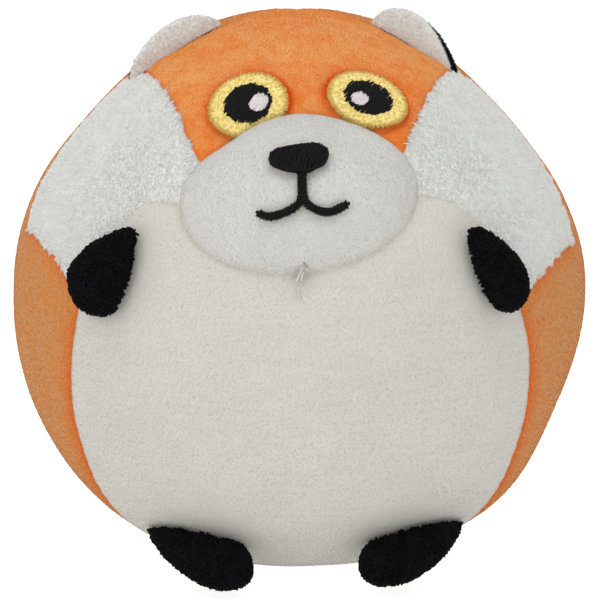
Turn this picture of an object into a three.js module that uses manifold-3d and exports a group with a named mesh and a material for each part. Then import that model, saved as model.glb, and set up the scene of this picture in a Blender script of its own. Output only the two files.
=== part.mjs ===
// A squishy plush animal in the shape of a ball, about 100 mm high, sewn from curved panels.
// Millimetres, +Z up. The toy faces -Y, so its own left side is +X.
// The panels are shells cut along one network of seams, so that they meet edge to edge.
// Inside are two bowls of wadding round an elastic bladder filled with jelly.
import * as THREE from "three";
import { mergeVertices } from "three/addons/utils/BufferGeometryUtils.js";
import Module from "manifold-3d";

const { Vector3 } = THREE;
const wasm = await Module();
wasm.setup();

// The ball
const ballRadius = 51;
// The other lengths below are drawn for a ball of this radius, and what is sewn on it grows with it.
const drawnRadius = 51;
const ballScale = ballRadius / drawnRadius;
// This puts the middle of the whole toy, from mouth to tail, at y = 0.
const ballMiddleY = -3.43 * ballScale;
const baseCut = 0.5;
const shoulder = { latitude: 42, spread: 20, drawnIn: 2.2 };
const hips = { latitude: -50, spread: 18, swollen: 1.3 };
const underside = { latitude: -90, spread: 22, drawnIn: 1.5 };
const crownTop = { latitude: 90, spread: 25, drawnIn: 0.7 };

// The skin and its seams
const skinThickness = 2.2;
const seamGap = 0.3;
const seamDepth = 0.7;
const seamSpread = 2.2;
const clearance = 0.3;
const liningGap = 0.6;
const earTuck = { azimuth: 70, elevation: 63, depth: 1.1, spread: 9 };
const chinTuck = { azimuth: 0, elevation: 9.5, depth: 0.9, spread: 5 };

// The muzzle, measured along the ball
const muzzle = {
  elevation: 28,
  // It is sewn on a little askew, with its left end higher.
  tilt: 9,
  halfWidth: 21.5,
  halfHeight: 15.5,
  bulge: 5.5 * ballScale,
  // How full the raised form is between its middle and its seam
  fullness: 2.4,
  // Where the seams between the foreheads, the brow seams and the cheek seams meet its rim, as
  // angles up from its left and right ends
  topAngle: { left: 84, right: 96 },
  browAngle: { left: 20, right: 36.5 },
  cheekAngle: { left: -12, right: 6 },
  rings: 4,
};

// The corners where seams meet, as azimuth from the front and elevation, in degrees
const crownPoint = [180, 86];
const earPoint = [78, 55];
const cheekCorner = [77.5, 12.5];
const armPoint = [48, 3];
const hipPoint = [67, -50];
const basePoint = [0, -82];

// What the seams pass on the way between two corners
const seamWay = {
  centreFront: [[0, 64]],
  brow: [[32.5, 40.5], [38, 45], [46, 49.3], [57, 52.5]],
  crown: [[80, 75], [75, 65]],
  cheekOuter: [[83, 46], [83.5, 34], [81, 22]],
  cheekUnder: [[69, 12], [63, 10.3], [56, 8]],
  cheekInner: [[34, 23.5], [38.5, 20], [43.5, 13]],
  side: [[50, -6], [53, -14.5], [56, -22.5], [58.5, -30], [63, -39]],
  bottom: [[66, -62], [48, -75]],
};
// Two seams on opposite sides of a panel have the same number of steps.
const browSteps = 8;
const crownSteps = 6;
const cheekSteps = 6;
const bottomSteps = 5;
const seamSteps = {
  centreFront: browSteps, brow: browSteps, cheekUnder: browSteps / 2, cheekInner: browSteps / 2,
  crown: crownSteps, muzzleTop: crownSteps, muzzleSide: cheekSteps, cheekOuter: cheekSteps,
  bottom: bottomSteps, muzzleBottom: bottomSteps, side: 7, roundBack: 11,
};

// The inside
const bladder = {
  radius: 36 * ballScale, wall: 1.5, neckRadius: 4, neckBore: 2.6, neckLength: 5.5 * ballScale,
};
const bladderSides = 20;
const bladderSteps = 11;
const plug = { flangeRadius: 4.8, flangeThickness: 1.6, depth: 4.5 };
const plugSides = 16;
// How much narrower the plug's two ends are than the rest of it
const plugTaper = 0.8;
const wadding = { sides: 20, rings: 5, neckHole: 6 };
const fillInset = 0.5;

// Arms: teardrops laid on the ball, sewn on at their narrow top end
const arm = { azimuth: 33.8, elevation: 17, rootWidth: 4.5, crown: 3, backCrown: 0.8, cover: 1.1, rim: 0.6 };
const armOf = {
  left: { tilt: 36, length: 15.8, width: 9.6 },
  right: { tilt: 27, length: 16.2, width: 13 },
};
// Feet: thicker teardrops in front of the ball, their places from its middle on the floor
const foot = { width: 14, rootWidth: 5.5, crown: 3.8, backCrown: 2.7, cover: 1.1, rim: 0.6 };
const footOf = {
  left: { root: [28, -18.8, 10], toe: [12.2, -39.2, 4.7] },
  right: { root: [26.6, -19.8, 9.1], toe: [9.9, -39.8, 4.1] },
};
const limbSides = 18;
const limbRings = 3;
const limbFillShare = 0.8;
// How soon a limb swells to its full width, and where its middle lies along it
const limbSwell = 1.35;
const limbMiddle = 0.6;
// How flat a stuffed form is over its middle before it falls to its rim
const domePower = 2.2;

// Ears: half-round flaps that stand in the crown seam
const ear = {
  azimuth: 76, elevation: 64.5, halfWidth: 9, thickness: 1.2, rootDepth: 2.2,
  lean: 4, backOverhang: 0.4, rings: 3, rimShare: 0.45,
};
// Their heights, and how far their tops slant towards the crown
const earOf = {
  left: { height: 4.2, slant: 3 },
  right: { height: 4.3, slant: 0.4 },
};
const earSides = 24;

// The tail: a stuffed teardrop that hangs from the lower back, with a light tip
const tail = {
  elevation: -36, rise: -28, length: 20, radius: 6.5, rootRadius: 3.6, cover: 1.1,
  tipShare: 0.62, widestShare: 0.55, sunk: 0.5, fillStart: 1.5,
};
const tailSides = 16;
const coverSteps = 6;
const tipSteps = 5;
const fillSteps = 8;

// Embroidery, raised on the skin
const thread = { lift: 0.3, thickness: 0.8 };
const ringSides = 28;
const pupilSides = 20;
const glintSides = 12;
// How deep the space kept free for the muzzle reaches into the ball
const muzzleSpaceDepth = 6.6;
const eyes = {
  left: { azimuth: 20.6, elevation: 47.9, ringRadius: 6.6, pupilRadius: 4, glint: [-1.7, 0] },
  right: { azimuth: -15, elevation: 46.5, ringRadius: 7, pupilRadius: 4.3, glint: [1.9, 0] },
  glintRadius: 1.6,
};
const noseOutline = [
  [-4.8, 2.7], [-4, 4.2], [-1, 5], [2.5, 5.4], [4.4, 4.5], [3.8, 1.9], [1.4, 0.1], [-1.6, 0.5], [-3.9, 1.3],
];
const noseMiddle = [0, 2.8];
const noseSides = 20;
const noseCrown = 0.7;
const mouthLine = [
  [-6.6, -6.1], [-5.5, -6.8], [-4.2, -6.9], [-2.6, -6.5], [-1, -5.7], [0.4, -5], [1.7, -5.4], [3.2, -6.1],
  [4.7, -6.2], [6.1, -5.5], [7.5, -4.7],
];
const philtrumLine = [[0.3, -0.6], [0.3, -2.8], [0.4, -4.7]];
const mouthWidth = 1.3;
const mouthSteps = 22;
const philtrumSteps = 4;

const halfTurn = 180;
const degree = Math.PI / halfTurn;
const centre = new Vector3(0, ballMiddleY, ballRadius - underside.drawnIn - baseCut);

// The shares from 0 to 1 in even steps.
function sharesOf(steps) {
  const whole = Math.round(steps);
  return [...Array(whole + 1).keys()].map((k) => k / whole);
}

// The angles of a full turn, one for each side.
function turnsOf(sides) {
  return [...Array(sides).keys()].map((k) => (2 * Math.PI * k) / sides);
}

// Directions on the ball

function direction([azimuth, elevation], side = 1) {
  const turn = azimuth * degree;
  const rise = elevation * degree;
  return new Vector3(side * Math.sin(turn) * Math.cos(rise), -Math.cos(turn) * Math.cos(rise), Math.sin(rise));
}

function hump(value, middle, spread) {
  return Math.exp(-(((value - middle) / spread) ** 2));
}

// The ball's radius in a direction: a sphere with slim shoulders and full hips.
function ballReach(way) {
  const latitude = Math.asin(THREE.MathUtils.clamp(way.z, -1, 1)) / degree;
  return (
    ballRadius -
    shoulder.drawnIn * hump(latitude, shoulder.latitude, shoulder.spread) +
    hips.swollen * hump(latitude, hips.latitude, hips.spread) -
    underside.drawnIn * hump(latitude, underside.latitude, underside.spread) -
    crownTop.drawnIn * hump(latitude, crownTop.latitude, crownTop.spread)
  );
}

// A frame on the ball: out of it, across it and up along it, turned by a tilt in degrees.
function spot(azimuth, elevation, tilt = 0) {
  const out = direction([azimuth, elevation]);
  const across = new Vector3(0, 0, 1).cross(out).normalize();
  const up = out.clone().cross(across);
  return {
    out,
    across: across.clone().applyAxisAngle(out, tilt * degree),
    up: up.clone().applyAxisAngle(out, tilt * degree),
  };
}

// The direction that lies s across and t up from a spot, both measured along the ball as drawn.
function onSpot(frame, s, t) {
  const far = Math.hypot(s, t);
  if (far < 1e-9) return frame.out.clone();
  const turn = far / drawnRadius;
  return frame.out
    .clone()
    .multiplyScalar(Math.cos(turn))
    .addScaledVector(frame.across, (Math.sin(turn) * s) / far)
    .addScaledVector(frame.up, (Math.sin(turn) * t) / far);
}

function arcBetween(a, b) {
  return a.angleTo(b) * drawnRadius;
}

const tucks = [];
for (const side of [1, -1]) {
  tucks.push({ at: direction([earTuck.azimuth, earTuck.elevation], side), ...earTuck });
}
tucks.push({ at: direction([chinTuck.azimuth, chinTuck.elevation]), ...chinTuck });

// The ball with the dimples before the ears and under the chin.
function tuckedReach(way) {
  const drawnIn = tucks.map((tuck) => tuck.depth * hump(arcBetween(way, tuck.at), 0, tuck.spread));
  return ballReach(way) - drawnIn.reduce((sum, depth) => sum + depth, 0);
}

// The network of seams

// A smooth seam through directions, in even steps.
function seamThrough(ways, steps) {
  const curve = new THREE.CatmullRomCurve3(ways, false, "centripetal");
  return curve.getSpacedPoints(steps).map((way) => way.normalize());
}

const muzzleSpot = spot(0, muzzle.elevation, muzzle.tilt);
// The nose and mouth are stitched on upright.
const faceSpot = spot(0, muzzle.elevation);

function onMuzzleRim(angle, side) {
  const s = side * muzzle.halfWidth * Math.cos(angle * degree);
  return onSpot(muzzleSpot, s, muzzle.halfHeight * Math.sin(angle * degree));
}

function muzzleArc(from, to, steps, side) {
  return sharesOf(steps).map((share) => onMuzzleRim(from + (to - from) * share, side));
}

function seamsOf(side) {
  const at = (corner) => direction(corner, side);
  const way = (name) => seamWay[name].map((place) => direction(place, side));
  const name = side > 0 ? "left" : "right";
  const [topAngle, browAngle, cheekAngle] = [muzzle.topAngle, muzzle.browAngle, muzzle.cheekAngle].map(
    (angles) => angles[name],
  );
  const run = (from, name, to) => seamThrough([from, ...way(name), to], seamSteps[name]);
  const brow = onMuzzleRim(browAngle, side);
  const cheek = onMuzzleRim(cheekAngle, side);
  return {
    muzzleTop: muzzleArc(topAngle, browAngle, seamSteps.muzzleTop, side),
    muzzleSide: muzzleArc(browAngle, cheekAngle, seamSteps.muzzleSide, side),
    muzzleBottom: muzzleArc(cheekAngle, -90, seamSteps.muzzleBottom, side),
    centreFront: run(onMuzzleRim(topAngle, side), "centreFront", at(crownPoint)),
    brow: run(brow, "brow", at(earPoint)),
    crown: run(at(crownPoint), "crown", at(earPoint)),
    cheekOuter: run(at(earPoint), "cheekOuter", at(cheekCorner)),
    cheekUnder: run(at(cheekCorner), "cheekUnder", at(armPoint)),
    cheekInner: run(cheek, "cheekInner", at(armPoint)),
    side: run(at(armPoint), "side", at(hipPoint)),
    bottom: run(at(hipPoint), "bottom", at(basePoint)),
  };
}

// One run of several seams, each starting where the last ended.
function chain(...seams) {
  return seams.flatMap((seam, k) => (k ? seam.slice(1) : seam));
}

function reversed(seam) {
  return [...seam].reverse();
}

const seams = { left: seamsOf(1), right: seamsOf(-1) };

// The seam down the centre of the back, from the crown round the base to the belly.
function backSeam(steps) {
  const last = -halfTurn - basePoint[1];
  const elevations = sharesOf(steps).map((share) => crownPoint[1] + (last - crownPoint[1]) * share);
  return elevations.map((elevation) => direction([halfTurn, elevation]));
}

function frontEdgeOfBack(one) {
  return chain(one.crown, one.cheekOuter, one.cheekUnder, one.side, one.bottom);
}

const backSteps = frontEdgeOfBack(seams.left).length - 1;
const seamPoints = [
  ...Object.values(seams.left).flat(),
  ...Object.values(seams.right).flat(),
  ...backSeam(backSteps),
];

// The skin's outer radius: the tucked ball, drawn in along each seam.
function skinReach(way) {
  const nearest = Math.min(...seamPoints.map((point) => arcBetween(way, point)));
  return tuckedReach(way) - seamDepth * hump(nearest, 0, seamSpread);
}

// How far out of the muzzle's middle a direction lies: 0 there, 1 on its seam.
function muzzleShare(way) {
  const far = arcBetween(way, muzzleSpot.out);
  const s = way.dot(muzzleSpot.across);
  const t = way.dot(muzzleSpot.up);
  const wide = Math.hypot(s, t) || 1;
  return Math.hypot((far * s) / wide / muzzle.halfWidth, (far * t) / wide / muzzle.halfHeight);
}

function muzzleRise(share) {
  return muzzle.bulge * Math.max(0, 1 - share ** muzzle.fullness);
}

function muzzleReach(way) {
  return tuckedReach(way) + muzzleRise(muzzleShare(way));
}

// Solids

// A closed geometry from points and triangles, its shared points merged and its faces pointing out.
function solid(points, triangles) {
  const loose = new THREE.BufferGeometry();
  loose.setAttribute("position", new THREE.Float32BufferAttribute(points.flatMap((p) => p.toArray()), 3));
  loose.setIndex(triangles.flat());
  const merged = mergeVertices(loose, 1e-4);
  const old = merged.index.array;
  const index = [];
  for (let i = 0; i < old.length; i += 3) {
    const [a, b, c] = [old[i], old[i + 1], old[i + 2]];
    if (a !== b && b !== c && c !== a) index.push(a, b, c);
  }
  merged.setIndex(volumeOf(merged.attributes.position, index) < 0 ? index.reverse() : index);
  return merged;
}

function volumeOf(position, index) {
  const [a, b, c] = [new Vector3(), new Vector3(), new Vector3()];
  let sum = 0;
  for (let i = 0; i < index.length; i += 3) {
    a.fromBufferAttribute(position, index[i]);
    b.fromBufferAttribute(position, index[i + 1]);
    c.fromBufferAttribute(position, index[i + 2]);
    sum += a.dot(b.cross(c));
  }
  return sum / 6;
}

function onBall(way, radius) {
  return centre.clone().addScaledVector(way, radius);
}

// A wall of two faces between two layers of a grid: rows and columns, closed all round its rim.
// In a grid that goes round, the last column joins the first.
function layeredSolid(top, under, goesRound = false) {
  const rows = top.length;
  const columns = top[0].length;
  const points = [...top.flat(), ...under.flat()];
  const layer = rows * columns;
  const at = (row, column) => row * columns + (column % columns);
  const triangles = [];
  const quad = (a, b, c, d) => triangles.push([a, b, c], [a, c, d]);
  const lastColumn = goesRound ? columns : columns - 1;
  for (let row = 0; row + 1 < rows; row++) {
    for (let column = 0; column < lastColumn; column++) {
      const [a, b] = [at(row, column), at(row, column + 1)];
      const [c, d] = [at(row + 1, column + 1), at(row + 1, column)];
      quad(a, b, c, d);
      quad(d + layer, c + layer, b + layer, a + layer);
    }
  }
  const wall = (a, b) => quad(b, a, a + layer, b + layer);
  for (let column = 0; column < lastColumn; column++) {
    wall(at(0, column), at(0, column + 1));
    wall(at(rows - 1, column + 1), at(rows - 1, column));
  }
  if (!goesRound) {
    for (let row = 0; row + 1 < rows; row++) {
      wall(at(row + 1, 0), at(row, 0));
      wall(at(row, columns - 1), at(row + 1, columns - 1));
    }
  }
  return solid(points, triangles);
}

function toManifold(geometry) {
  const bare = new THREE.BufferGeometry();
  bare.setAttribute("position", geometry.getAttribute("position"));
  bare.setIndex(geometry.index);
  const merged = mergeVertices(bare, 1e-4);
  return new wasm.Manifold(
    new wasm.Mesh({
      numProp: 3,
      vertProperties: merged.attributes.position.array,
      triVerts: new Uint32Array(merged.index.array),
    }),
  );
}

function fromManifold(made) {
  const { vertProperties, triVerts } = made.getMesh();
  const geometry = new THREE.BufferGeometry();
  geometry.setAttribute("position", new THREE.Float32BufferAttribute(vertProperties, 3));
  geometry.setIndex([...triVerts]);
  return geometry;
}

function cut(geometry, ...cutters) {
  const made = cutters.reduce((rest, cutter) => rest.subtract(toManifold(cutter)), toManifold(geometry));
  return fromManifold(made);
}

function join(first, second) {
  return fromManifold(toManifold(first).add(toManifold(second)));
}

// Panels of the skin

// A grid of directions between four seams, with low and high running the same way.
function patch(low, high, start, end) {
  const rows = start.length - 1;
  const columns = low.length - 1;
  return start.map((_, row) => {
    const v = row / rows;
    return low.map((__, column) => {
      const u = column / columns;
      const blend = new Vector3()
        .addScaledVector(low[column], 1 - v)
        .addScaledVector(high[column], v)
        .addScaledVector(start[row], 1 - u)
        .addScaledVector(end[row], u)
        .addScaledVector(low[0], -(1 - u) * (1 - v))
        .addScaledVector(low[columns], -u * (1 - v))
        .addScaledVector(high[0], -(1 - u) * v)
        .addScaledVector(high[columns], -u * v);
      return blend.normalize();
    });
  });
}

// A grid of great-circle rows from one edge to another that meets it at both ends.
function lune(front, back, columns) {
  return front.map((from, row) => {
    const to = back[row];
    const turn = from.angleTo(to);
    const shares = sharesOf(columns);
    if (turn < 1e-6) return shares.map(() => from.clone());
    return shares.map((u) =>
      from
        .clone()
        .multiplyScalar(Math.sin((1 - u) * turn))
        .addScaledVector(to, Math.sin(u * turn))
        .normalize(),
    );
  });
}

// Draws the rim of a grid of directions in by half the seam gap.
function insetRim(grid) {
  const lastRow = grid.length - 1;
  const lastColumn = grid[0].length - 1;
  const middle = Math.round(lastColumn / 2);
  const inward = (value, last) => Math.min(Math.max(value, 1), last - 1);
  return grid.map((line, row) => {
    const closes = line[0].distanceTo(line[lastColumn]) < 1e-6;
    return line.map((way, column) => {
      const onRim = row === 0 || row === lastRow || column === 0 || column === lastColumn;
      if (!onRim) return way;
      const toward = grid[inward(row, lastRow)][closes ? middle : inward(column, lastColumn)];
      const share = seamGap / 2 / arcBetween(way, toward);
      return way.clone().lerp(toward, share).normalize();
    });
  });
}

function panel(grid) {
  const inset = insetRim(grid);
  const layer = (depth) => inset.map((line) => line.map((way) => onBall(way, skinReach(way) - depth)));
  return layeredSolid(layer(0), layer(skinThickness));
}

function foreheadPanel(one) {
  return panel(patch(one.muzzleTop, one.crown, one.centreFront, one.brow));
}

function cheekPanel(one) {
  const lower = chain(one.cheekInner, reversed(one.cheekUnder));
  return panel(patch(one.muzzleSide, one.cheekOuter, one.brow, lower));
}

function bellyPanel() {
  const { left, right } = seams;
  const top = chain(right.muzzleBottom, reversed(left.muzzleBottom));
  const bottom = chain(right.bottom, reversed(left.bottom));
  return panel(patch(top, bottom, chain(right.cheekInner, right.side), chain(left.cheekInner, left.side)));
}

function backPanel(one) {
  const made = panel(lune(frontEdgeOfBack(one), backSeam(backSteps), seamSteps.roundBack));
  return cut(made, belowFloor());
}

// What lies under the floor, cut off what rests on it.
function belowFloor() {
  const block = new THREE.BoxGeometry(4 * ballRadius, 4 * ballRadius, ballRadius);
  return bareGeometry(block.translate(0, 0, -ballRadius / 2));
}

function bareGeometry(geometry) {
  geometry.deleteAttribute("normal");
  geometry.deleteAttribute("uv");
  return mergeVertices(geometry, 1e-4);
}

// Round forms: rings about a middle, from a first share of the way out to the rim

function ringed(sides, rings, firstShare, place) {
  const lines = [];
  for (let ring = 0; ring <= rings; ring++) {
    const share = firstShare + ((1 - firstShare) * ring) / rings;
    lines.push(turnsOf(sides).map((_, side) => place(share, side)));
  }
  return lines;
}

function roundSolid(sides, rings, firstShare, top, under) {
  return layeredSolid(ringed(sides, rings, firstShare, top), ringed(sides, rings, firstShare, under), true);
}

const muzzleRim = chain(
  seams.left.muzzleTop,
  seams.left.muzzleSide,
  seams.left.muzzleBottom,
  reversed(seams.right.muzzleBottom),
  reversed(seams.right.muzzleSide),
  reversed(seams.right.muzzleTop),
).slice(0, -1);

// A point of the muzzle at a share of the way from its middle to a rim point, and a height.
function onMuzzle(share, side, height) {
  const rim = muzzleRim[side];
  const far = arcBetween(rim, muzzleSpot.out);
  const inset = share * (1 - seamGap / 2 / far);
  const turn = inset * rim.angleTo(muzzleSpot.out);
  const axis = muzzleSpot.out.clone().cross(rim).normalize();
  const way = muzzleSpot.out.clone().applyAxisAngle(axis, turn);
  return onBall(way, skinReach(way) + muzzleRise(share) + height);
}

function muzzlePanel() {
  const top = (share, side) => onMuzzle(share, side, 0);
  const under = (share, side) => onMuzzle(share, side, -skinThickness);
  return roundSolid(muzzleRim.length, muzzle.rings, 0, top, under);
}

// The pad of fibre that fills the muzzle out, between its panel and the wadding.
function muzzleWadding() {
  const width = limbFillShare;
  const top = (share, side) => onMuzzle(share * width, side, -skinThickness - fillInset);
  const under = (share, side) => {
    const way = onMuzzle(share * width, side, 0).sub(centre).normalize();
    return onBall(way, waddingReach(way) + clearance);
  };
  return roundSolid(muzzleRim.length, muzzle.rings, 0, top, under);
}

// The inside

function waddingReach(way) {
  return tuckedReach(way) - seamDepth - skinThickness - liningGap;
}

// Half of the wadding: a bowl about the -Y or +Y axis. The back one has a hole for the bladder's neck.
function waddingBowl(front) {
  const quarter = (Math.PI / 2) * (1 - clearance / bladder.radius);
  const firstShare = front ? 0 : wadding.neckHole / (bladder.radius * (Math.PI / 2));
  const way = (share, side) => {
    const round = (2 * Math.PI * side) / wadding.sides;
    const out = Math.sin(share * quarter);
    const along = Math.cos(share * quarter) * (front ? -1 : 1);
    return new Vector3(out * Math.cos(round), along, out * Math.sin(round));
  };
  // The flat facets of the hollow clear the round bladder at their middles.
  const hollow = (bladder.radius + clearance) / Math.cos(Math.PI / wadding.sides) ** 2;
  const top = (share, side) => onBall(way(share, side), waddingReach(way(share, side)));
  const under = (share, side) => onBall(way(share, side), hollow);
  return roundSolid(wadding.sides, wadding.rings, firstShare, top, under);
}

function arcOf(radius, from, to, steps) {
  const turns = sharesOf(steps).map((share) => from + (to - from) * share);
  return turns.map((turn) => new THREE.Vector2(radius * Math.sin(turn), radius * Math.cos(turn)));
}

// A turned piece about the ball's +Y axis, from a profile of radius and distance.
function turned(profile, sides) {
  return lathed(profile, sides, new THREE.Matrix4().makeTranslation(centre.x, centre.y, centre.z));
}

function lathed(profile, sides, place) {
  const geometry = bareGeometry(new THREE.LatheGeometry(profile, sides)).applyMatrix4(place);
  return solid(pointsOf(geometry), trianglesOf(geometry));
}

function bladderShell() {
  const { radius, wall, neckRadius, neckBore, neckLength } = bladder;
  const inner = radius - wall;
  const end = radius + neckLength;
  return turned(
    [
      ...arcOf(radius, Math.PI, Math.asin(neckRadius / radius), bladderSteps),
      new THREE.Vector2(neckRadius, end),
      new THREE.Vector2(neckBore, end),
      ...arcOf(inner, Math.asin(neckBore / inner), Math.PI, bladderSteps),
    ],
    bladderSides,
  );
}

function jelly() {
  // The bladder's facets reach a little inside its round wall, and the jelly stays inside them.
  const facetShare = Math.cos(Math.PI / bladderSides) * Math.cos(Math.PI / 2 / bladderSteps);
  const inner = (bladder.radius - bladder.wall) * facetShare - clearance;
  const bore = bladder.neckBore * facetShare - clearance;
  const end = bladder.radius + bladder.neckLength - plug.depth - clearance;
  return turned(
    [
      ...arcOf(inner, Math.PI, Math.asin(bore / inner), bladderSteps),
      new THREE.Vector2(bore, end),
      new THREE.Vector2(0, end),
    ],
    bladderSides,
  );
}

function bladderPlug() {
  const shaft = bladder.neckBore - clearance;
  const seat = bladder.radius + bladder.neckLength + clearance;
  const { flangeRadius, flangeThickness, depth } = plug;
  return turned(
    [
      new THREE.Vector2(0, seat - depth),
      new THREE.Vector2(shaft * plugTaper, seat - depth),
      new THREE.Vector2(shaft, seat - depth + (1 - plugTaper) * depth),
      new THREE.Vector2(shaft, seat),
      new THREE.Vector2(flangeRadius, seat),
      new THREE.Vector2(flangeRadius, seat + flangeThickness / 2),
      new THREE.Vector2(flangeRadius * plugTaper, seat + flangeThickness),
      new THREE.Vector2(0, seat + flangeThickness),
    ],
    plugSides,
  );
}

// Arms, feet and ears: pads between two heights over an outline

// A teardrop from a narrow root at (0, 0) to a round end, its points spread evenly by angle.
function teardrop(length, width, rootWidth) {
  const taper = rootWidth / width;
  return turnsOf(limbSides).map((turn) => {
    const along = (1 - Math.cos(turn)) / 2;
    const swell = taper + (1 - taper) * Math.min(1, limbSwell * along);
    return [(width / 2) * Math.sin(turn) * swell, -length * along];
  });
}

// A pad over an outline about a middle point, between two heights that depend on the share out.
function pad(outline, middle, rings, firstShare, place, top, under) {
  const at = (height) => (share, side) => {
    const [s, t] = outline[side];
    const across = middle[0] + (s - middle[0]) * share;
    const along = middle[1] + (t - middle[1]) * share;
    return place(across, along, height(share));
  };
  return roundSolid(outline.length, rings, firstShare, at(top), at(under));
}

function domed(share) {
  return Math.sqrt(Math.max(0, 1 - share ** domePower));
}

// The heights of a stuffed limb's two covers and filling above its seam, at a share of the way out.
function limbHeights(limb) {
  const rimTop = seamGap / 2 + limb.rim;
  const front = (share) => rimTop + limb.crown * domed(share);
  const back = (share) => -rimTop - limb.backCrown * domed(share);
  const frontInside = (share) => Math.max(seamGap / 2, front(share) - limb.cover);
  const backInside = (share) => Math.min(-seamGap / 2, back(share) + limb.cover);
  const fillTop = (share) => frontInside(share * limbFillShare) - fillInset;
  const fillUnder = (share) => backInside(share * limbFillShare) + fillInset;
  return { front, back, frontInside, backInside, fillTop, fillUnder };
}

// The front cover, back cover and filling of a limb, each cut by the cutters.
function limbSolids(limb, outline, place, cutters) {
  const middle = [0, outline[limbSides / 2][1] * limbMiddle];
  const high = limbHeights(limb);
  const inner = outline.map(([s, t]) => [
    middle[0] + (s - middle[0]) * limbFillShare,
    middle[1] + (t - middle[1]) * limbFillShare,
  ]);
  const shape = (line, top, under) => cut(pad(line, middle, limbRings, 0, place, top, under), ...cutters);
  return {
    front: shape(outline, high.front, high.frontInside),
    back: shape(outline, high.backInside, high.back),
    filling: shape(inner, high.fillTop, high.fillUnder),
  };
}

function armSolids(side, { tilt, length, width }) {
  const frame = spot(side * arm.azimuth, arm.elevation, side * tilt);
  const outline = teardrop(length, width, arm.rootWidth);
  const seat = clearance + seamGap / 2 + arm.rim + arm.backCrown;
  const place = (s, t, height) => {
    const way = onSpot(frame, s, t);
    return onBall(way, ballReach(way) + seat + height);
  };
  return limbSolids(arm, outline, place, []);
}

function footSolids(side, { root: start, toe }) {
  const mirror = ([x, y, z]) => {
    const place = new Vector3(side * x, y, z).multiplyScalar(ballScale);
    return place.add(new Vector3(0, ballMiddleY, 0));
  };
  const root = mirror(start);
  const along = mirror(toe).sub(root);
  const length = along.length();
  along.normalize();
  const across = new Vector3(0, 0, 1).cross(along).normalize();
  const up = along.clone().cross(across);
  const place = (s, t, height) =>
    root.clone().addScaledVector(across, s).addScaledVector(along, -t).addScaledVector(up, height);
  const outline = teardrop(length, foot.width, foot.rootWidth);
  return limbSolids(foot, outline, place, [ballCutter(clearance), belowFloor()]);
}

// The tucked ball, larger by a margin, for cutting what is sewn on it.
function ballCutter(margin) {
  const geometry = bareGeometry(new THREE.SphereGeometry(1, 48, 30));
  const position = geometry.getAttribute("position");
  for (let i = 0; i < position.count; i++) {
    const way = new Vector3().fromBufferAttribute(position, i).normalize();
    const point = onBall(way, tuckedReach(way) + margin);
    position.setXYZ(i, point.x, point.y, point.z);
  }
  return geometry;
}

// An ear: a flat oval that stands along the crown seam and is cut off where it meets the ball.
function earSolids(side, { height, slant }) {
  const frame = spot(side * ear.azimuth, ear.elevation);
  const middle = onBall(frame.out, tuckedReach(frame.out) - ear.rootDepth);
  const along = frame.up.clone();
  const front = frame.out.clone().cross(along).multiplyScalar(side).normalize();
  const out = frame.out.clone().applyAxisAngle(along, side * ear.lean * degree);
  const place = (s, t, height) =>
    middle.clone().addScaledVector(along, s).addScaledVector(out, t).addScaledVector(front, height);
  const outlineOf = (more) =>
    turnsOf(earSides).map((turn) => [
      (ear.halfWidth * ballScale + more) * Math.cos(turn) + slant * Math.max(0, Math.sin(turn)),
      (height * ballScale + ear.rootDepth + more) * Math.sin(turn),
    ]);
  const edge = (share) => ear.thickness * (ear.rimShare + (1 - ear.rimShare) * domed(share));
  const half = seamGap / 2;
  const face = (outline, top, under) =>
    cut(pad(outline, [0, 0], ear.rings, 0, place, top, under), ballCutter(clearance));
  return {
    front: face(outlineOf(0), (share) => half + edge(share), () => half),
    back: face(outlineOf(ear.backOverhang), () => -half, (share) => -half - edge(share)),
  };
}

// The tail, turned about its own axis and set on the lower back

function tailRadius(share) {
  const { radius, rootRadius, widestShare } = tail;
  if (share < widestShare) {
    return rootRadius + (radius - rootRadius) * Math.sin((Math.PI / 2) * (share / widestShare));
  }
  const rest = (share - widestShare) / (1 - widestShare);
  return radius * Math.sqrt(Math.max(0, 1 - rest ** 2));
}

function tailProfile(from, to, inset, steps) {
  const shares = sharesOf(steps).map((share) => from + (to - from) * share);
  return shares.map((share) => new THREE.Vector2(Math.max(0, tailRadius(share) - inset), share * tail.length));
}

function tailPieces() {
  const { length, cover, tipShare } = tail;
  const gap = seamGap / length;
  const innerEnd = 1 - cover / length;
  const sleeve = [
    ...tailProfile(0, tipShare - gap / 2, 0, coverSteps),
    ...tailProfile(0, tipShare - gap / 2, cover, coverSteps).reverse(),
  ];
  const tipOuter = tailProfile(tipShare + gap / 2, 1, 0, tipSteps);
  const tipInner = tailProfile(tipShare + gap / 2, innerEnd, cover, tipSteps).reverse();
  tipInner[0].x = 0;
  const fillEnd = innerEnd - fillInset / length;
  const fill = tailProfile(tail.fillStart / length, fillEnd, cover + fillInset, fillSteps);
  fill[fill.length - 1].x = 0;
  const first = new THREE.Vector2(0, fill[0].y);
  return {
    tail_cover: [...sleeve, sleeve[0].clone()],
    tail_tip: [...tipOuter, ...tipInner, tipOuter[0].clone()],
    tail_filling: [first, ...fill],
  };
}

function tailSolids() {
  const way = direction([halfTurn, tail.elevation]);
  const root = onBall(way, ballReach(way) - tail.sunk);
  const turn = new THREE.Matrix4().makeRotationX(tail.rise * degree);
  const place = new THREE.Matrix4().makeTranslation(root.x, root.y, root.z).multiply(turn);
  return Object.entries(tailPieces()).map(([name, profile]) => [
    name,
    cut(lathed(profile, tailSides, place), ballCutter(clearance)),
  ]);
}

function pointsOf(geometry) {
  const position = geometry.getAttribute("position");
  return [...Array(position.count).keys()].map((i) => new Vector3().fromBufferAttribute(position, i));
}

function trianglesOf(geometry) {
  const index = geometry.index.array;
  return [...Array(index.length / 3).keys()].map((i) => [...index.slice(3 * i, 3 * i + 3)]);
}

// Embroidery

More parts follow.
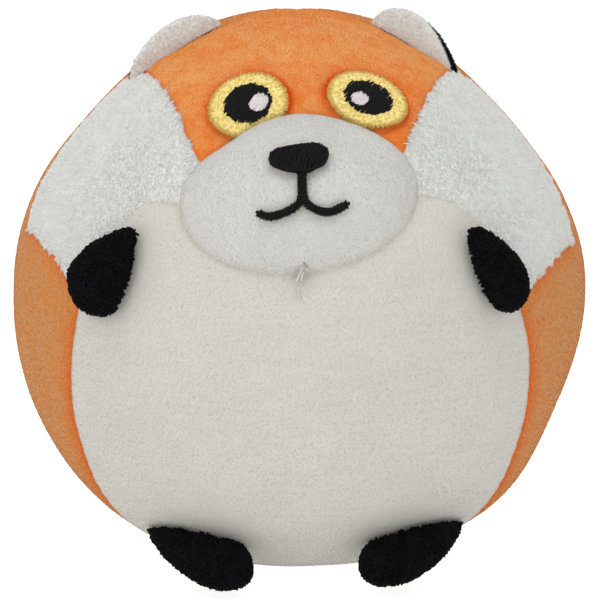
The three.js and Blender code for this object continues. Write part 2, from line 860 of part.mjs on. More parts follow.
function circle(radius, sides) {
  return turnsOf(sides).map((turn) => [radius * Math.cos(turn), radius * Math.sin(turn)]);
}

function threadTop() {
  return thread.lift + thread.thickness;
}

// The space the muzzle takes with a margin round it, for cutting the eyes.
function muzzleCutter() {
  const reach = (height) => (share, side) => {
    const way = onMuzzle(share, side, 0).sub(centre).normalize();
    const wide = muzzleSpot.out.clone().lerp(way, 1 + clearance / muzzle.halfHeight).normalize();
    return onBall(wide, ballRadius + height);
  };
  return roundSolid(muzzleRim.length, muzzle.rings, 0, reach(muzzle.bulge), reach(-muzzleSpaceDepth));
}

function eyeSolids({ azimuth, elevation, ringRadius, pupilRadius, glint }) {
  const frame = spot(azimuth, elevation);
  const place = (s, t, height) => {
    const way = onSpot(frame, s, t);
    return onBall(way, skinReach(way) + height);
  };
  const shifted = ([s, t]) => [s + glint[0], t + glint[1]];
  const disc = (outline, middle, firstShare, top, under) =>
    pad(outline, middle, 2, firstShare, place, () => top, () => under);
  const { glintRadius } = eyes;
  const glintMiddle = shifted([0, 0]);
  const glintOutline = circle(glintRadius, glintSides).map(shifted);
  const glintSpace = circle(glintRadius + clearance, glintSides).map(shifted);
  const bore = (pupilRadius + clearance) / ringRadius;
  const iris = disc(circle(ringRadius, ringSides), [0, 0], bore, threadTop(), thread.lift);
  const pupil = disc(circle(pupilRadius, pupilSides), [0, 0], 0, threadTop(), thread.lift);
  const hole = disc(glintSpace, glintMiddle, 0, 2 * threadTop(), 0);
  return {
    iris: cut(iris, muzzleCutter()),
    pupil: cut(pupil, hole),
    glint: disc(glintOutline, glintMiddle, 0, threadTop(), thread.lift),
  };
}

function onMuzzleFace(s, t, height) {
  const way = onSpot(faceSpot, s, t);
  return onBall(way, muzzleReach(way) + height);
}

function noseSolid() {
  const corners = noseOutline.map(([s, t]) => new Vector3(s, t, 0));
  const curve = new THREE.CatmullRomCurve3(corners, true, "centripetal");
  const outline = curve.getSpacedPoints(noseSides).slice(0, -1).map((p) => [p.x, p.y]);
  const crown = (share) => threadTop() + noseCrown * domed(share);
  return pad(outline, noseMiddle, muzzle.rings - 1, 0, onMuzzleFace, crown, () => thread.lift);
}

// A raised line of stitches along points on the muzzle.
function stitchedLine(line, width, steps) {
  const corners = line.map(([s, t]) => new Vector3(s, t, 0));
  const curve = new THREE.CatmullRomCurve3(corners, false, "centripetal");
  const layer = (height) =>
    sharesOf(steps).map((share) => {
      const point = curve.getPointAt(share);
      const along = curve.getTangentAt(share);
      const side = new Vector3(-along.y, along.x, 0).multiplyScalar(width / 2);
      return [-1, 1].map((hand) => onMuzzleFace(point.x + hand * side.x, point.y + hand * side.y, height));
    });
  return layeredSolid(layer(threadTop()), layer(thread.lift));
}

function mouthSolid() {
  const lip = stitchedLine(mouthLine, mouthWidth, mouthSteps);
  return join(lip, stitchedLine(philtrumLine, mouthWidth, philtrumSteps));
}

// Materials

function cloth(color, roughness = 0.95) {
  return new THREE.MeshStandardMaterial({ color, roughness, metalness: 0 });
}

const materials = {
  orangePlush: cloth(0xe1803c),
  whitePlush: cloth(0xd6d3ce),
  whiteSherpa: cloth(0xdadcd6),
  blackPlush: cloth(0x16181b),
  wadding: cloth(0xf0f0ec),
  goldThread: cloth(0xddc173, 0.45),
  blackThread: cloth(0x1b1a19, 0.5),
  whiteThread: cloth(0xe0d8d4, 0.45),
  elastic: cloth(0xe8e4d8, 0.4),
  jelly: cloth(0x9fd4e8, 0.15),
  hardPlug: cloth(0xf2f2f2, 0.5),
};

// Assembly

const toy = new THREE.Group();

function add(name, geometry, material) {
  const mesh = new THREE.Mesh(geometry, material);
  mesh.name = name;
  toy.add(mesh);
}

function addLimb(name, { front, back, filling }) {
  add(name + "_front", front, materials.blackPlush);
  add(name + "_back", back, materials.blackPlush);
  add(name + "_filling", filling, materials.wadding);
}

for (const [name, side] of [["left", 1], ["right", -1]]) {
  const one = seams[name];
  add("forehead_" + name, foreheadPanel(one), materials.orangePlush);
  add("cheek_" + name, cheekPanel(one), materials.whiteSherpa);
  add("back_" + name, backPanel(one), materials.orangePlush);
  const made = earSolids(side, earOf[name]);
  add("ear_front_" + name, made.front, materials.whitePlush);
  add("ear_back_" + name, made.back, materials.blackPlush);
  addLimb("arm_" + name, armSolids(side, armOf[name]));
  addLimb("foot_" + name, footSolids(side, footOf[name]));
  const eye = eyeSolids(eyes[name]);
  add("eye_ring_" + name, eye.iris, materials.goldThread);
  add("eye_pupil_" + name, eye.pupil, materials.blackThread);
  add("eye_glint_" + name, eye.glint, materials.whiteThread);
}
add("belly", bellyPanel(), materials.whitePlush);
add("muzzle", muzzlePanel(), materials.whitePlush);
add("nose", noseSolid(), materials.blackThread);
add("mouth", mouthSolid(), materials.blackThread);
add("muzzle_wadding", muzzleWadding(), materials.wadding);
add("wadding_front", waddingBowl(true), materials.wadding);
add("wadding_back", waddingBowl(false), materials.wadding);
add("bladder", bladderShell(), materials.elastic);
add("jelly", jelly(), materials.jelly);
add("bladder_plug", bladderPlug(), materials.hardPlug);
const tailColour = { tail_cover: "orangePlush", tail_tip: "whitePlush", tail_filling: "wadding" };
for (const [name, geometry] of tailSolids()) add(name, geometry, materials[tailColour[name]]);

export default toy;
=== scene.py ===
# A squishy plush animal in the shape of a ball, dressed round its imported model.
# Lengths in the dictionaries are millimetres and angles are degrees; meshes are made in metres.
# The toy faces -Y, so its own left side is +X, on the right of the picture.
import math
import random

import bmesh
import bpy
import numpy as np
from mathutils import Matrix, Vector, noise
from mathutils.kdtree import KDTree


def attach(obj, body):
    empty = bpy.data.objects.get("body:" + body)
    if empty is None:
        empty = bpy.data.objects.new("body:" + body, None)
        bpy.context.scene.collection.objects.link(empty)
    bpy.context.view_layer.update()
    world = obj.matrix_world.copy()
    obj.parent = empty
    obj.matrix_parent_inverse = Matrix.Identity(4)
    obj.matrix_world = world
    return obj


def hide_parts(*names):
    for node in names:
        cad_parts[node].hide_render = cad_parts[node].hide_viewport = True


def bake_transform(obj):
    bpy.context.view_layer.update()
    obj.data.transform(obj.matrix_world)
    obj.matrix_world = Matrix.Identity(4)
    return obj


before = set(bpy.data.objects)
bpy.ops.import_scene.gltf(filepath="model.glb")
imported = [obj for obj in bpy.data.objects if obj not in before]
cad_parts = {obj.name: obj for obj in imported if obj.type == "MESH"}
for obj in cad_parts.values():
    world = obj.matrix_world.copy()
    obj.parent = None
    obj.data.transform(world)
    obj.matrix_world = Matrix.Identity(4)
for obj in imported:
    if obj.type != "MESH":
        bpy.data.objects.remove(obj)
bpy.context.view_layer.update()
mm = 0.001
sideOf = {"left": 1, "right": -1}

# Camera and light

# The photographer stood a little to the toy's right; the ball's middle lies off the picture's middle.
photo = {
    "pixels": 600, "focalPixels": 3611, "elevation": 8, "turn": -0.6, "distance": 650,
    "ballAbove": 13, "ballLeft": 3, "sensorWidth": 36,
}

ball = {
    "radius": 51.0,
    "middleY": -3.43,
    "baseCut": 0.5,
    # Latitude, spread and change of radius of each soft departure from a sphere
    "shoulder": (42, 20, -2.2),
    "hips": (-50, 18, 1.3),
    "underside": (-90, 22, -1.5),
    "crownTop": (90, 25, -0.7),
}
centre = np.array([0.0, ball["middleY"], ball["radius"] + ball["underside"][2] - ball["baseCut"]])

studio = {
    "ambient": 0.72,
    # The floor is a light table: it reflects a part, glows a little, and reads as white to the camera.
    "floorColour": (0.6, 0.6, 0.6, 1),
    "floorLight": 0.45,
    "floorGlow": 0.38,
    "floorHalf": 2.0,
    # Place in metres, size in metres, power in watts
    "lamps": {
        "key": ((-0.6, -1.3, 0.95), 1.2, 3.2),
        "fill": ((-0.1, -1.2, 0.08), 1.0, 2.2),
        "top": ((-0.1, -0.4, 1.5), 0.9, 5.2),
        "rear": ((0.2, 1.2, 0.8), 1.0, 1.8),
    },
}


def direction(azimuth, elevation, side=1):
    turn, rise = math.radians(azimuth), math.radians(elevation)
    flat = math.cos(rise)
    return np.array([side * math.sin(turn) * flat, -math.cos(turn) * flat, math.sin(rise)])


def linked(name, data):
    thing = bpy.data.objects.new(name, data)
    bpy.context.collection.objects.link(thing)
    return thing


# Puts the camera or a lamp at a place in metres, looking one way.
def stand(thing, place, way):
    thing.location = place
    thing.rotation_euler = Vector(way).to_track_quat("-Z", "Y").to_euler()


def makeCamera():
    turn = math.radians(photo["turn"])
    away = direction(photo["turn"], photo["elevation"])
    right = np.array([math.cos(turn), math.sin(turn), 0.0])
    up = np.cross(away, right)
    place = centre + away * photo["distance"]
    perPixel = photo["distance"] / photo["focalPixels"]
    aim = centre - up * photo["ballAbove"] * perPixel + right * photo["ballLeft"] * perPixel
    data = bpy.data.cameras.new("camera")
    data.sensor_width = photo["sensorWidth"]
    data.lens = photo["sensorWidth"] * photo["focalPixels"] / photo["pixels"]
    data.clip_start = 0.01
    bpy.context.scene.camera = linked("camera", data)
    stand(bpy.context.scene.camera, place * mm, aim - place)


# A socket by its place, or by its name among those that are in use.
def socketOf(sockets, key):
    if isinstance(key, int):
        return sockets[key]
    return next(socket for socket in sockets if socket.name == key and socket.enabled)


# A node tree with short ways to add to it. Each gives back an output of the new node.
class Net:
    families = ("GeometryNode", "ShaderNode", "FunctionNode", "Node")

    def __init__(self, tree):
        self.tree = tree

    def link(self, output, socket):
        self.tree.links.new(output, socket)

    # Adds a node, applies its settings and feeds its inputs with values or with other outputs.
    def add(self, kind, feeds=None, take=0, **settings):
        node = self.tree.nodes.new(next(family + kind for family in self.families
                                        if hasattr(bpy.types, family + kind)))
        count = len(self.tree.nodes)
        node.location = (190 * (count % 12), -240 * (count // 12))
        for name, value in settings.items():
            setattr(node, name, value)
        for key, value in (feeds or {}).items():
            socket = socketOf(node.inputs, key)
            if isinstance(value, bpy.types.NodeSocket):
                self.link(value, socket)
            else:
                socket.default_value = value
        return socketOf(node.outputs, take) if node.outputs else None

    def math(self, operation, *values):
        return self.add("Math", dict(enumerate(values)), operation=operation)

    def vector(self, operation, first, second):
        key = "Scale" if operation == "SCALE" else 1
        return self.add("VectorMath", {0: first, key: second}, operation=operation)

    # One where the camera, a mirror or a clear thing sees the surface, and nothing where it lights others.
    def seen(self):
        rays = self.add("LightPath").node.outputs
        plain = self.math("MAXIMUM", rays["Is Camera Ray"], rays["Is Glossy Ray"])
        return self.math("MAXIMUM", plain, rays["Is Transmission Ray"])

    def noise(self, size, detail=2.0, stretch=(1, 1, 1), roughness=0.55):
        place = self.add("TexCoord", take="Object")
        mapped = self.add("Mapping", {"Vector": place, "Scale": stretch})
        return self.add("TexNoise", {
            "Vector": mapped, "Scale": 1 / (size * mm), "Detail": detail, "Roughness": roughness})

    # Mixes two colours, each an output or red, green and blue as on a screen.
    def mix(self, share, first, second):
        first, second = (value if isinstance(value, bpy.types.NodeSocket) else srgb(*value)
                         for value in (first, second))
        return self.add("Mix", {"Factor": share, "A": first, "B": second}, "Result", data_type="RGBA")

    def remap(self, value, low, high, start=0.0, end=1.0):
        return self.add("MapRange", {
            "Value": value, "From Min": low, "From Max": high, "To Min": start, "To Max": end}, "Result")

    def attribute(self, name):
        return self.add("Attribute", take="Fac", attribute_name=name)

    def bump(self, shader, height, strength, distance):
        raised = self.add("Bump", {"Height": height, "Strength": strength, "Distance": distance * mm})
        self.link(raised, shader["Normal"])

    def named(self, name, kind="FLOAT_VECTOR"):
        return self.add("InputNamedAttribute", {"Name": name}, "Attribute", data_type=kind)

    def store(self, geometry, name, value, kind="FLOAT_VECTOR"):
        return self.add("StoreNamedAttribute", {"Geometry": geometry, "Name": name, "Value": value},
                        data_type=kind)

    def randomVector(self, seed):
        return self.add("RandomValue", {0: (-1, -1, -1), 1: (1, 1, 1), 8: seed}, data_type="FLOAT_VECTOR")

    def randomNumber(self, low, high, seed):
        return self.add("RandomValue", {2: low, 3: high, 8: seed}, 1, data_type="FLOAT")

    # A round strand of unit size round a curve
    def tube(self, curve, radius, sides, size):
        shaped = self.add("SetCurveRadius", {"Curve": curve, "Radius": radius})
        ring = self.add("CurvePrimitiveCircle", {"Resolution": sides, "Radius": size})
        return self.add("CurveToMesh", {"Curve": shaped, "Profile Curve": ring, "Fill Caps": True})

    # Makes the strands real on their points.
    def lay(self, points, strand, turn, scale):
        laid = self.add("InstanceOnPoints", {
            "Points": points, "Instance": strand, "Rotation": turn,
            "Scale": self.add("CombineXYZ", dict(enumerate(scale)))})
        return self.add("RealizeInstances", {"Geometry": laid})

    def finish(self, result, material):
        done = self.add("SetMaterial", {"Geometry": result, "Material": material})
        self.add("GroupOutput", {"Geometry": done})
        return self.tree


def srgb(*colour):
    levels = (value / 255 for value in colour)
    return (*(v / 12.92 if v <= 0.04045 else ((v + 0.055) / 1.055) ** 2.4 for v in levels), 1.0)


def newMaterial(name, **settings):
    material = bpy.data.materials.new(name)
    material.use_nodes = True
    shader = material.node_tree.nodes["Principled BSDF"].inputs
    for key, value in settings.items():
        shader[key.replace("_", " ")].default_value = value
    return material, Net(material.node_tree), shader


def setWorld():
    world = bpy.data.worlds.new("softRoom")
    bpy.context.scene.world = world
    world.use_nodes = True
    world.node_tree.nodes.clear()
    net = Net(world.node_tree)
    soft, white = (net.add("Background", {"Color": (1, 1, 1, 1), "Strength": strength})
                   for strength in (studio["ambient"], 1.0))
    net.add("OutputWorld", {"Surface": net.add("MixShader", {0: net.seen(), 1: soft, 2: white})})


def makeStudio():
    setWorld()
    for name, (place, size, power) in studio["lamps"].items():
        data = bpy.data.lights.new(name, "AREA")
        data.size = size
        data.energy = power
        stand(linked(name, data), place, Vector(centre * mm) - Vector(place))
    half = studio["floorHalf"]
    mesh = bpy.data.meshes.new("floor")
    corners = [(-half, -half, 0), (half, -half, 0), (half, half, 0), (-half, half, 0)]
    mesh.from_pydata(corners, [], [(0, 1, 2, 3)])
    material, net, shader = newMaterial("paleFloor", Base_Color=studio["floorColour"], Roughness=0.9,
                                        Emission_Color=(1, 1, 1, 1))
    glow = net.math("MULTIPLY_ADD", net.seen(), studio["floorGlow"], studio["floorLight"])
    net.link(glow, shader["Emission Strength"])
    mesh.materials.append(material)
    linked("floor", mesh)


bpy.context.scene.view_settings.view_transform = "Standard"
makeCamera()
makeStudio()
print("camera and studio are set")

# Places on the ball


def unit(vectors):
    return vectors / np.linalg.norm(vectors, axis=-1, keepdims=True)


def hump(value, middle, spread):
    return np.exp(-(((value - middle) / spread) ** 2))


def ballReach(ways):
    latitude = np.degrees(np.arcsin(np.clip(ways[..., 2], -1, 1)))
    reach = np.full(latitude.shape, ball["radius"])
    for name in ("shoulder", "hips", "underside", "crownTop"):
        middle, spread, change = ball[name]
        reach += change * hump(latitude, middle, spread)
    return reach


def arcTo(ways, one):
    return np.arccos(np.clip(ways @ one, -1, 1)) * ball["radius"]


# A frame on the ball: out of it, across it and up along it, turned by a tilt.
def spot(azimuth, elevation, tilt=0):
    away = direction(azimuth, elevation)
    across = unit(np.cross((0, 0, 1), away))
    turn = math.radians(tilt)
    turned = across * math.cos(turn) + np.cross(away, across) * math.sin(turn)
    return {"out": away, "across": turned, "up": np.cross(away, turned)}


# Directions that lie s across and t up from a spot, both measured along the ball.
def onSpot(place, s, t):
    s, t = np.asarray(s, float), np.asarray(t, float)
    far = np.maximum(np.hypot(s, t), 1e-9)
    turn = far / ball["radius"]
    sideways = (s / far)[..., None] * place["across"] + (t / far)[..., None] * place["up"]
    return np.cos(turn)[..., None] * place["out"] + np.sin(turn)[..., None] * sideways


# How far directions lie from a spot along the ball, and their shares across and up.
def fromSpot(place, ways):
    s, t = ways @ place["across"], ways @ place["up"]
    wide = np.maximum(np.hypot(s, t), 1e-9)
    return arcTo(ways, place["out"]), s / wide, t / wide


def onBall(ways, reach):
    return centre + ways * np.asarray(reach)[..., None]


# How far points lie from the ball's centre, and their directions.
def offBall(points):
    away = points - centre
    far = np.linalg.norm(away, axis=-1)
    return far, away / far[..., None]


skin = {
    "wall": 1.4,
    "fill": 0.9,
    # Between two panels at their seam, under the pile
    "gap": 0.02,
    "grooveDepth": 0.7,
    "grooveSpread": 2.2,
    "creaseDepth": 0.45,
    "creaseSpread": 0.6,
    # The cloth lies below the drawn surface, which runs through the pile.
    "sunk": 0.2,
    # The puckers lie beside a seam, and the wobble of the filling dies out towards it.
    "puckerHeight": 0.1,
    "puckerPitch": 3.4,
    "puckerAt": (1.5, 1.3),
    "wobble": 0.22,
    "wobbleSize": 11.0,
    "wobbleFade": 4,
    "lowest": 0.2,
    "pileFrom": 1.2,
    # Azimuth, elevation, depth and spread
    "earTuck": (70, 63, 1.1, 9),
    "chinTuck": (0, 9.5, 0.9, 5),
    "chinPinch": (0.7, 10.4, 0.9, 1.9),
    # The crown dips beside the ears, and the sides stand out a little, each in its own place.
    "crownDips": [(80, 75, 0.6, 6), (-80, 75, 0.7, 6)],
    "sideSwells": [(90, 1, -1.1, 13), (-90, -23, -0.8, 13), (88, -43, -0.9, 10)],
    "stepsAcross": 10,
    "stepsAcrossBack": 6,
}


def tuckOf(azimuth, elevation, depth, spread, side=1):
    return direction(azimuth, elevation, side), depth, spread


tucks = [*(tuckOf(*skin["earTuck"], side) for side in (1, -1)), tuckOf(*skin["chinTuck"])]
pinches = tucks + [tuckOf(*pinch) for pinch in (skin["chinPinch"], *skin["crownDips"], *skin["sideSwells"])]


def tuckedReach(ways, places=tucks):
    reach = ballReach(ways)
    for at, depth, spread in places:
        reach = reach - depth * hump(arcTo(ways, at), 0, spread)
    return reach


# A smooth centripetal line through corners, as close points.
def smoothLine(corners, closed=False, perSpan=40):
    corners = np.asarray(corners, float)
    if closed:
        line = np.vstack([corners[-1:], corners, corners[:2]])
    else:
        line = np.vstack([2 * corners[0] - corners[1], corners, 2 * corners[-1] - corners[-2]])
    share = (np.arange(perSpan) / perSpan)[:, None]
    pieces = []
    for k in range(len(line) - 3):
        p0, p1, p2, p3 = line[k : k + 4]
        d0, d1, d2 = (max(np.linalg.norm(b - a), 1e-9) ** 0.5 for a, b in ((p0, p1), (p1, p2), (p2, p3)))
        startWay = ((p1 - p0) / d0 - (p2 - p0) / (d0 + d1) + (p2 - p1) / d1) * d1
        endWay = ((p2 - p1) / d1 - (p3 - p1) / (d1 + d2) + (p3 - p2) / d2) * d1
        square = -3 * p1 + 3 * p2 - 2 * startWay - endWay
        cube = 2 * p1 - 2 * p2 + startWay + endWay
        pieces.append(p1 + startWay * share + square * share**2 + cube * share**3)
    pieces.append(line[1:2] if closed else line[-2:-1])
    return np.vstack(pieces)


def lengthsAlong(line):
    return np.concatenate([[0], np.cumsum(np.linalg.norm(np.diff(line, axis=0), axis=1))])


# The same line in even steps.
def evenSteps(line, steps):
    lengths = lengthsAlong(line)
    at = np.linspace(0, lengths[-1], steps + 1)
    return np.stack([np.interp(at, lengths, line[:, axis]) for axis in range(line.shape[1])], axis=1)


# The network of seams

network = {
    "crownPoint": (180, 86),
    "earPoint": (81.5, 54.5),
    "cheekCorner": (78, 12.5),
    "armPoint": (48, 3),
    "hipPoint": (70, -51),
    "basePoint": (0, -82),
    "centreFront": [(0, 64)],
    "brow": [(32.5, 40.5), (38, 45), (46, 49.3), (57, 52.5)],
    "crown": [(80, 75), (75, 65)],
    "cheekOuter": [(85.5, 46), (85, 34), (81.5, 22)],
    "cheekUnder": [(69, 12), (63, 10.3), (56, 8)],
    "cheekInner": [(34, 23.5), (38.5, 20), (43.5, 13)],
    "side": [(50, -6), (53, -14.5), (56, -22.5), (58.5, -30), (63, -39)],
    "bottom": [(70, -63), (50, -75)],
}
# How much further round and higher each side's seams lie: the left side's, then the right side's
askew = {
    "cheekCorner": {1: (0, -2), -1: (0, 0.8)},
    "cheekUnder": {1: (0, -1.6), -1: (0, 1.3)},
    "side": {1: (2.6, 0), -1: (1.3, 0)},
    "hipPoint": {1: (2.4, 0), -1: (1.2, 0)},
}
# Each seam's steps, and how much of the full groove it draws in
seams = {
    "muzzleTop": (6, 0.7), "muzzleSide": (6, 0.18), "muzzleBottom": (5, 0.38), "centreFront": (8, 0.15),
    "brow": (8, 0.5), "crown": (6, 0.6), "cheekOuter": (6, 0.5), "cheekUnder": (4, 0.6),
    "cheekInner": (4, 0.12), "side": (7, 0.8), "bottom": (5, 0.5), "roundBack": (11, 0.7),
}
# Where seams meet, each has the common share, within this far from its end.
seamEnd = {"common": 0.45, "blendOver": 5}
muzzle = {
    "elevation": 28,
    # It is sewn on a little askew, with its left end higher.
    "tilt": 9,
    "halfWidth": 21.5,
    "halfHeight": 15.5,
    "bulge": 5.5,
    "fullness": 2.4,
    # How soft the foot of the bulge is at the top of the muzzle and at the chin; 1 is steep.
    "softFoot": (0.95, 1.4),
    # How much its outline is drawn in on each upper flank, this far round from its side, over this spread
    "flank": {1: 0.45, -1: 1.05},
    "flankAngle": 56,
    "flankSpread": 19,
    # Where the centre, brow and cheek seams meet its rim on each side
    "corners": {1: (84, 20, -12), -1: (96, 36.5, 6)},
    "rings": 34,
}
muzzleSpot = spot(0, muzzle["elevation"], muzzle["tilt"])
# The nose and mouth are stitched on upright.
faceSpot = spot(0, muzzle["elevation"])


# How much of its oval the muzzle's outline keeps, by the turn about its middle.
def muzzleKeeps(turn):
    drawnIn = np.where(np.cos(turn) >= 0, muzzle["flank"][1], muzzle["flank"][-1])
    fromSide = np.degrees(np.arctan2(np.sin(turn), np.abs(np.cos(turn))))
    return 1 - drawnIn / muzzle["halfHeight"] * hump(fromSide, muzzle["flankAngle"], muzzle["flankSpread"])


def onMuzzleRim(angle, side):
    turn = np.radians(angle)
    s, t = side * muzzle["halfWidth"] * np.cos(turn), muzzle["halfHeight"] * np.sin(turn)
    keeps = muzzleKeeps(np.arctan2(np.sin(turn), side * np.cos(turn)))
    return onSpot(muzzleSpot, s * keeps, t * keeps)


def seamsOf(side, fine):
    def moved(name, azimuth, elevation):
        further, higher = askew[name][side] if name in askew else (0, 0)
        return direction(azimuth + further, elevation + higher, side)

    # An end of a seam: a named point of the network, or a turn on the muzzle's rim
    def endAt(end):
        return moved(end, *network[end]) if isinstance(end, str) else onMuzzleRim(end, side)

    def run(name, start, end):
        ways = [endAt(start), *(moved(name, *place) for place in network[name]), endAt(end)]
        return unit(evenSteps(smoothLine(ways), seams[name][0] * fine))

    def arc(name, start, end):
        return onMuzzleRim(np.linspace(start, end, seams[name][0] * fine + 1), side)

    top, brow, cheek = muzzle["corners"][side]
    arcs = {"muzzleTop": (top, brow), "muzzleSide": (brow, cheek), "muzzleBottom": (cheek, -90)}
    runs = {
        "centreFront": (top, "crownPoint"), "brow": (brow, "earPoint"), "crown": ("crownPoint", "earPoint"),
        "cheekOuter": ("earPoint", "cheekCorner"), "cheekUnder": ("cheekCorner", "armPoint"),
        "cheekInner": (cheek, "armPoint"), "side": ("armPoint", "hipPoint"),
        "bottom": ("hipPoint", "basePoint"),
    }
    return ({name: arc(name, *ends) for name, ends in arcs.items()}
            | {name: run(name, *ends) for name, ends in runs.items()})


def chain(*lines):
    return np.vstack([line if k == 0 else line[1:] for k, line in enumerate(lines)])


# The seam down the centre of the back, from the crown round the base to the belly.
def backSeam(steps):
    start, end = network["crownPoint"][1], -180 - network["basePoint"][1]
    return np.array([direction(180, elevation) for elevation in np.linspace(start, end, steps + 1)])


# Every seam as close points, to find how far a place is from its nearest seam, how far along it that is
# and how much that seam draws in.
def plantSeams():
    closeSeams = [entry for side in (1, -1) for entry in seamsOf(side, 24).items()]
    closeSeams.append(("roundBack", backSeam(420)))
    tree = KDTree(sum(len(seam) for _, seam in closeSeams))
    along, pull = [], []
    for name, seam in closeSeams:
        lengths = lengthsAlong(seam) * ball["radius"]
        own = np.clip(np.minimum(lengths, lengths[-1] - lengths) / seamEnd["blendOver"], 0, 1)
        for k, way in enumerate(seam):
            tree.insert(way, len(along) + k)
        along.extend(lengths)
        pull.extend(seamEnd["common"] * (1 - own) + seams[name][1] * own)
    tree.balance()
    return tree, np.array(along), np.array(pull)


seamTree, seamAlong, seamShare = plantSeams()


def nearestSeam(ways):
    found = [seamTree.find(way)[1:] for way in ways.reshape(-1, 3)]
    index, chord = (np.array(column) for column in zip(*found))
    far = 2 * np.arcsin(np.clip(chord / 2, 0, 1)) * ball["radius"]
    return (values.reshape(ways.shape[:-1]) for values in (far, seamAlong[index], seamShare[index]))


def noiseAt(points, size, seed=0.0):
    flat = points.reshape(-1, 3) / size + seed
    return np.array([noise.noise(Vector(point)) for point in flat]).reshape(points.shape[:-1])


# The drawn surface: the tucked ball, drawn in along each seam.
def drawnReach(ways):
    far, _, pull = nearestSeam(ways)
    return tuckedReach(ways) - pull * skin["grooveDepth"] * hump(far, 0, skin["grooveSpread"])


# The cloth under the pile: below the drawn surface, creased and puckered at the seams.
def clothReach(ways):
    far, along, pull = nearestSeam(ways)
    pucker = np.sin(2 * np.pi * along / skin["puckerPitch"]) * hump(far, *skin["puckerAt"])
    drawn = skin["grooveDepth"] * hump(far, 0, skin["grooveSpread"])
    drawn += skin["creaseDepth"] * hump(far, 0, skin["creaseSpread"]) - skin["puckerHeight"] * pucker
    soft = noiseAt(ways * ball["radius"], skin["wobbleSize"]) * (1 - hump(far, 0, skin["wobbleFade"]))
    return tuckedReach(ways, pinches) - pull * drawn - skin["sunk"] + skin["wobble"] * soft


# How far out of the muzzle's middle a direction lies: 0 there, 1 on its seam.
def muzzleShare(ways):
    far, s, t = fromSpot(muzzleSpot, ways)
    s, t = far * s / muzzle["halfWidth"], far * t / muzzle["halfHeight"]
    return np.hypot(s, t) / muzzleKeeps(np.arctan2(t, s))


def muzzleRise(ways):
    swell = np.maximum(0, 1 - muzzleShare(ways) ** muzzle["fullness"])
    height = arcTo(ways, -muzzleSpot["up"]) - ball["radius"] * np.pi / 2
    share = np.clip(height / muzzle["halfHeight"] / 2 + 0.5, 0, 1)
    atTop, atChin = muzzle["softFoot"]
    return muzzle["bulge"] * swell ** (atChin + (atTop - atChin) * share)


# Meshes


# A mesh in metres from points in millimetres, its doubles merged and its faces pointing out.
def closedMesh(name, points, faces):
    mesh = bpy.data.meshes.new(name)
    mesh.from_pydata((points.reshape(-1, 3) * mm).tolist(), [], faces.tolist())
    form = bmesh.new()
    form.from_mesh(mesh)
    bmesh.ops.remove_doubles(form, verts=form.verts, dist=1e-7)
    bmesh.ops.dissolve_degenerate(form, edges=form.edges, dist=1e-8)
    if form.calc_volume(signed=True) < 0:
        bmesh.ops.reverse_faces(form, faces=form.faces)
    form.to_mesh(mesh)
    form.free()
    mesh.shade_smooth()
    return mesh


# The faces between points in rows and columns. A round grid joins its last column to its first.
def gridFaces(rows, columns, goesRound):
    last = columns if goesRound else columns - 1
    row, column = (grid.ravel() for grid in np.meshgrid(np.arange(rows - 1), np.arange(last), indexing="ij"))
    a, b = row * columns + column, row * columns + (column + 1) % columns
    return np.stack([a, b, b + columns, a + columns], 1)


# A closed wall between two layers of points in rows and columns.
def wallMesh(name, top, under, goesRound=False):
    rows, columns = top.shape[:2]
    layer = rows * columns
    cover = gridFaces(rows, columns, goesRound)
    faces = [cover, cover[:, ::-1] + layer]

    def rim(start, end):
        faces.append(np.stack([end, start, start + layer, end + layer], 1))

    edge = np.arange(columns if goesRound else columns - 1)
    after = (edge + 1) % columns
    rim(edge, after)
    rim((rows - 1) * columns + after, (rows - 1) * columns + edge)
    if not goesRound:
        down = np.arange(rows - 1) * columns
        rim(down + columns, down)
        rim(down + columns - 1, down + 2 * columns - 1)
    return closedMesh(name, np.stack([top, under]), np.vstack(faces))


# A closed skin from rows of points that run from one pole or edge to the other, joined round.
def roundMesh(name, rows):
    return closedMesh(name, rows, gridFaces(*rows.shape[:2], True))


def fullTurn(sides):
    return np.arange(sides) * 2 * np.pi / sides


def readAll(things, field):
    flat = np.empty(len(things) * 3)
    things.foreach_get(field, flat)
    return flat.reshape(-1, 3)


def vertexPlaces(mesh):
    return readAll(mesh.vertices, "co") / mm


def store(mesh, name, kind, values, domain="POINT"):
    data = mesh.attributes.new(name, kind, domain).data
    field = "vector" if kind == "FLOAT_VECTOR" else "value"
    data.foreach_set(field, np.ascontiguousarray(values).ravel())


def dropMarks(mesh, *names):
    for name in names:
        if name in mesh.attributes:
            mesh.attributes.remove(mesh.attributes[name])


def addPiece(name, mesh, material):
    mesh.materials.clear()
    mesh.materials.append(material)
    return linked(name, mesh)


# A grid between four seams, with low and high running the same way.
def patch(low, high, start, end):
    v = np.linspace(0, 1, len(start))[:, None, None]
    u = np.linspace(0, 1, len(low))[None, :, None]
    blend = low[None] * (1 - v) + high[None] * v + start[:, None] * (1 - u) + end[:, None] * u
    blend = blend - low[0] * (1 - u) * (1 - v) - low[-1] * u * (1 - v)
    return unit(blend - high[0] * (1 - u) * v - high[-1] * u * v)


# A grid of great-circle rows from one edge to another that meets it at both ends.
def lune(front, back, columns):
    turn = np.arccos(np.clip(np.sum(front * back, axis=1), -1, 1))[:, None, None]
    turn = np.maximum(turn, 1e-7)
    u = np.linspace(0, 1, columns + 1)[None, :, None]
    return unit(np.sin((1 - u) * turn) * front[:, None] + np.sin(u * turn) * back[:, None])


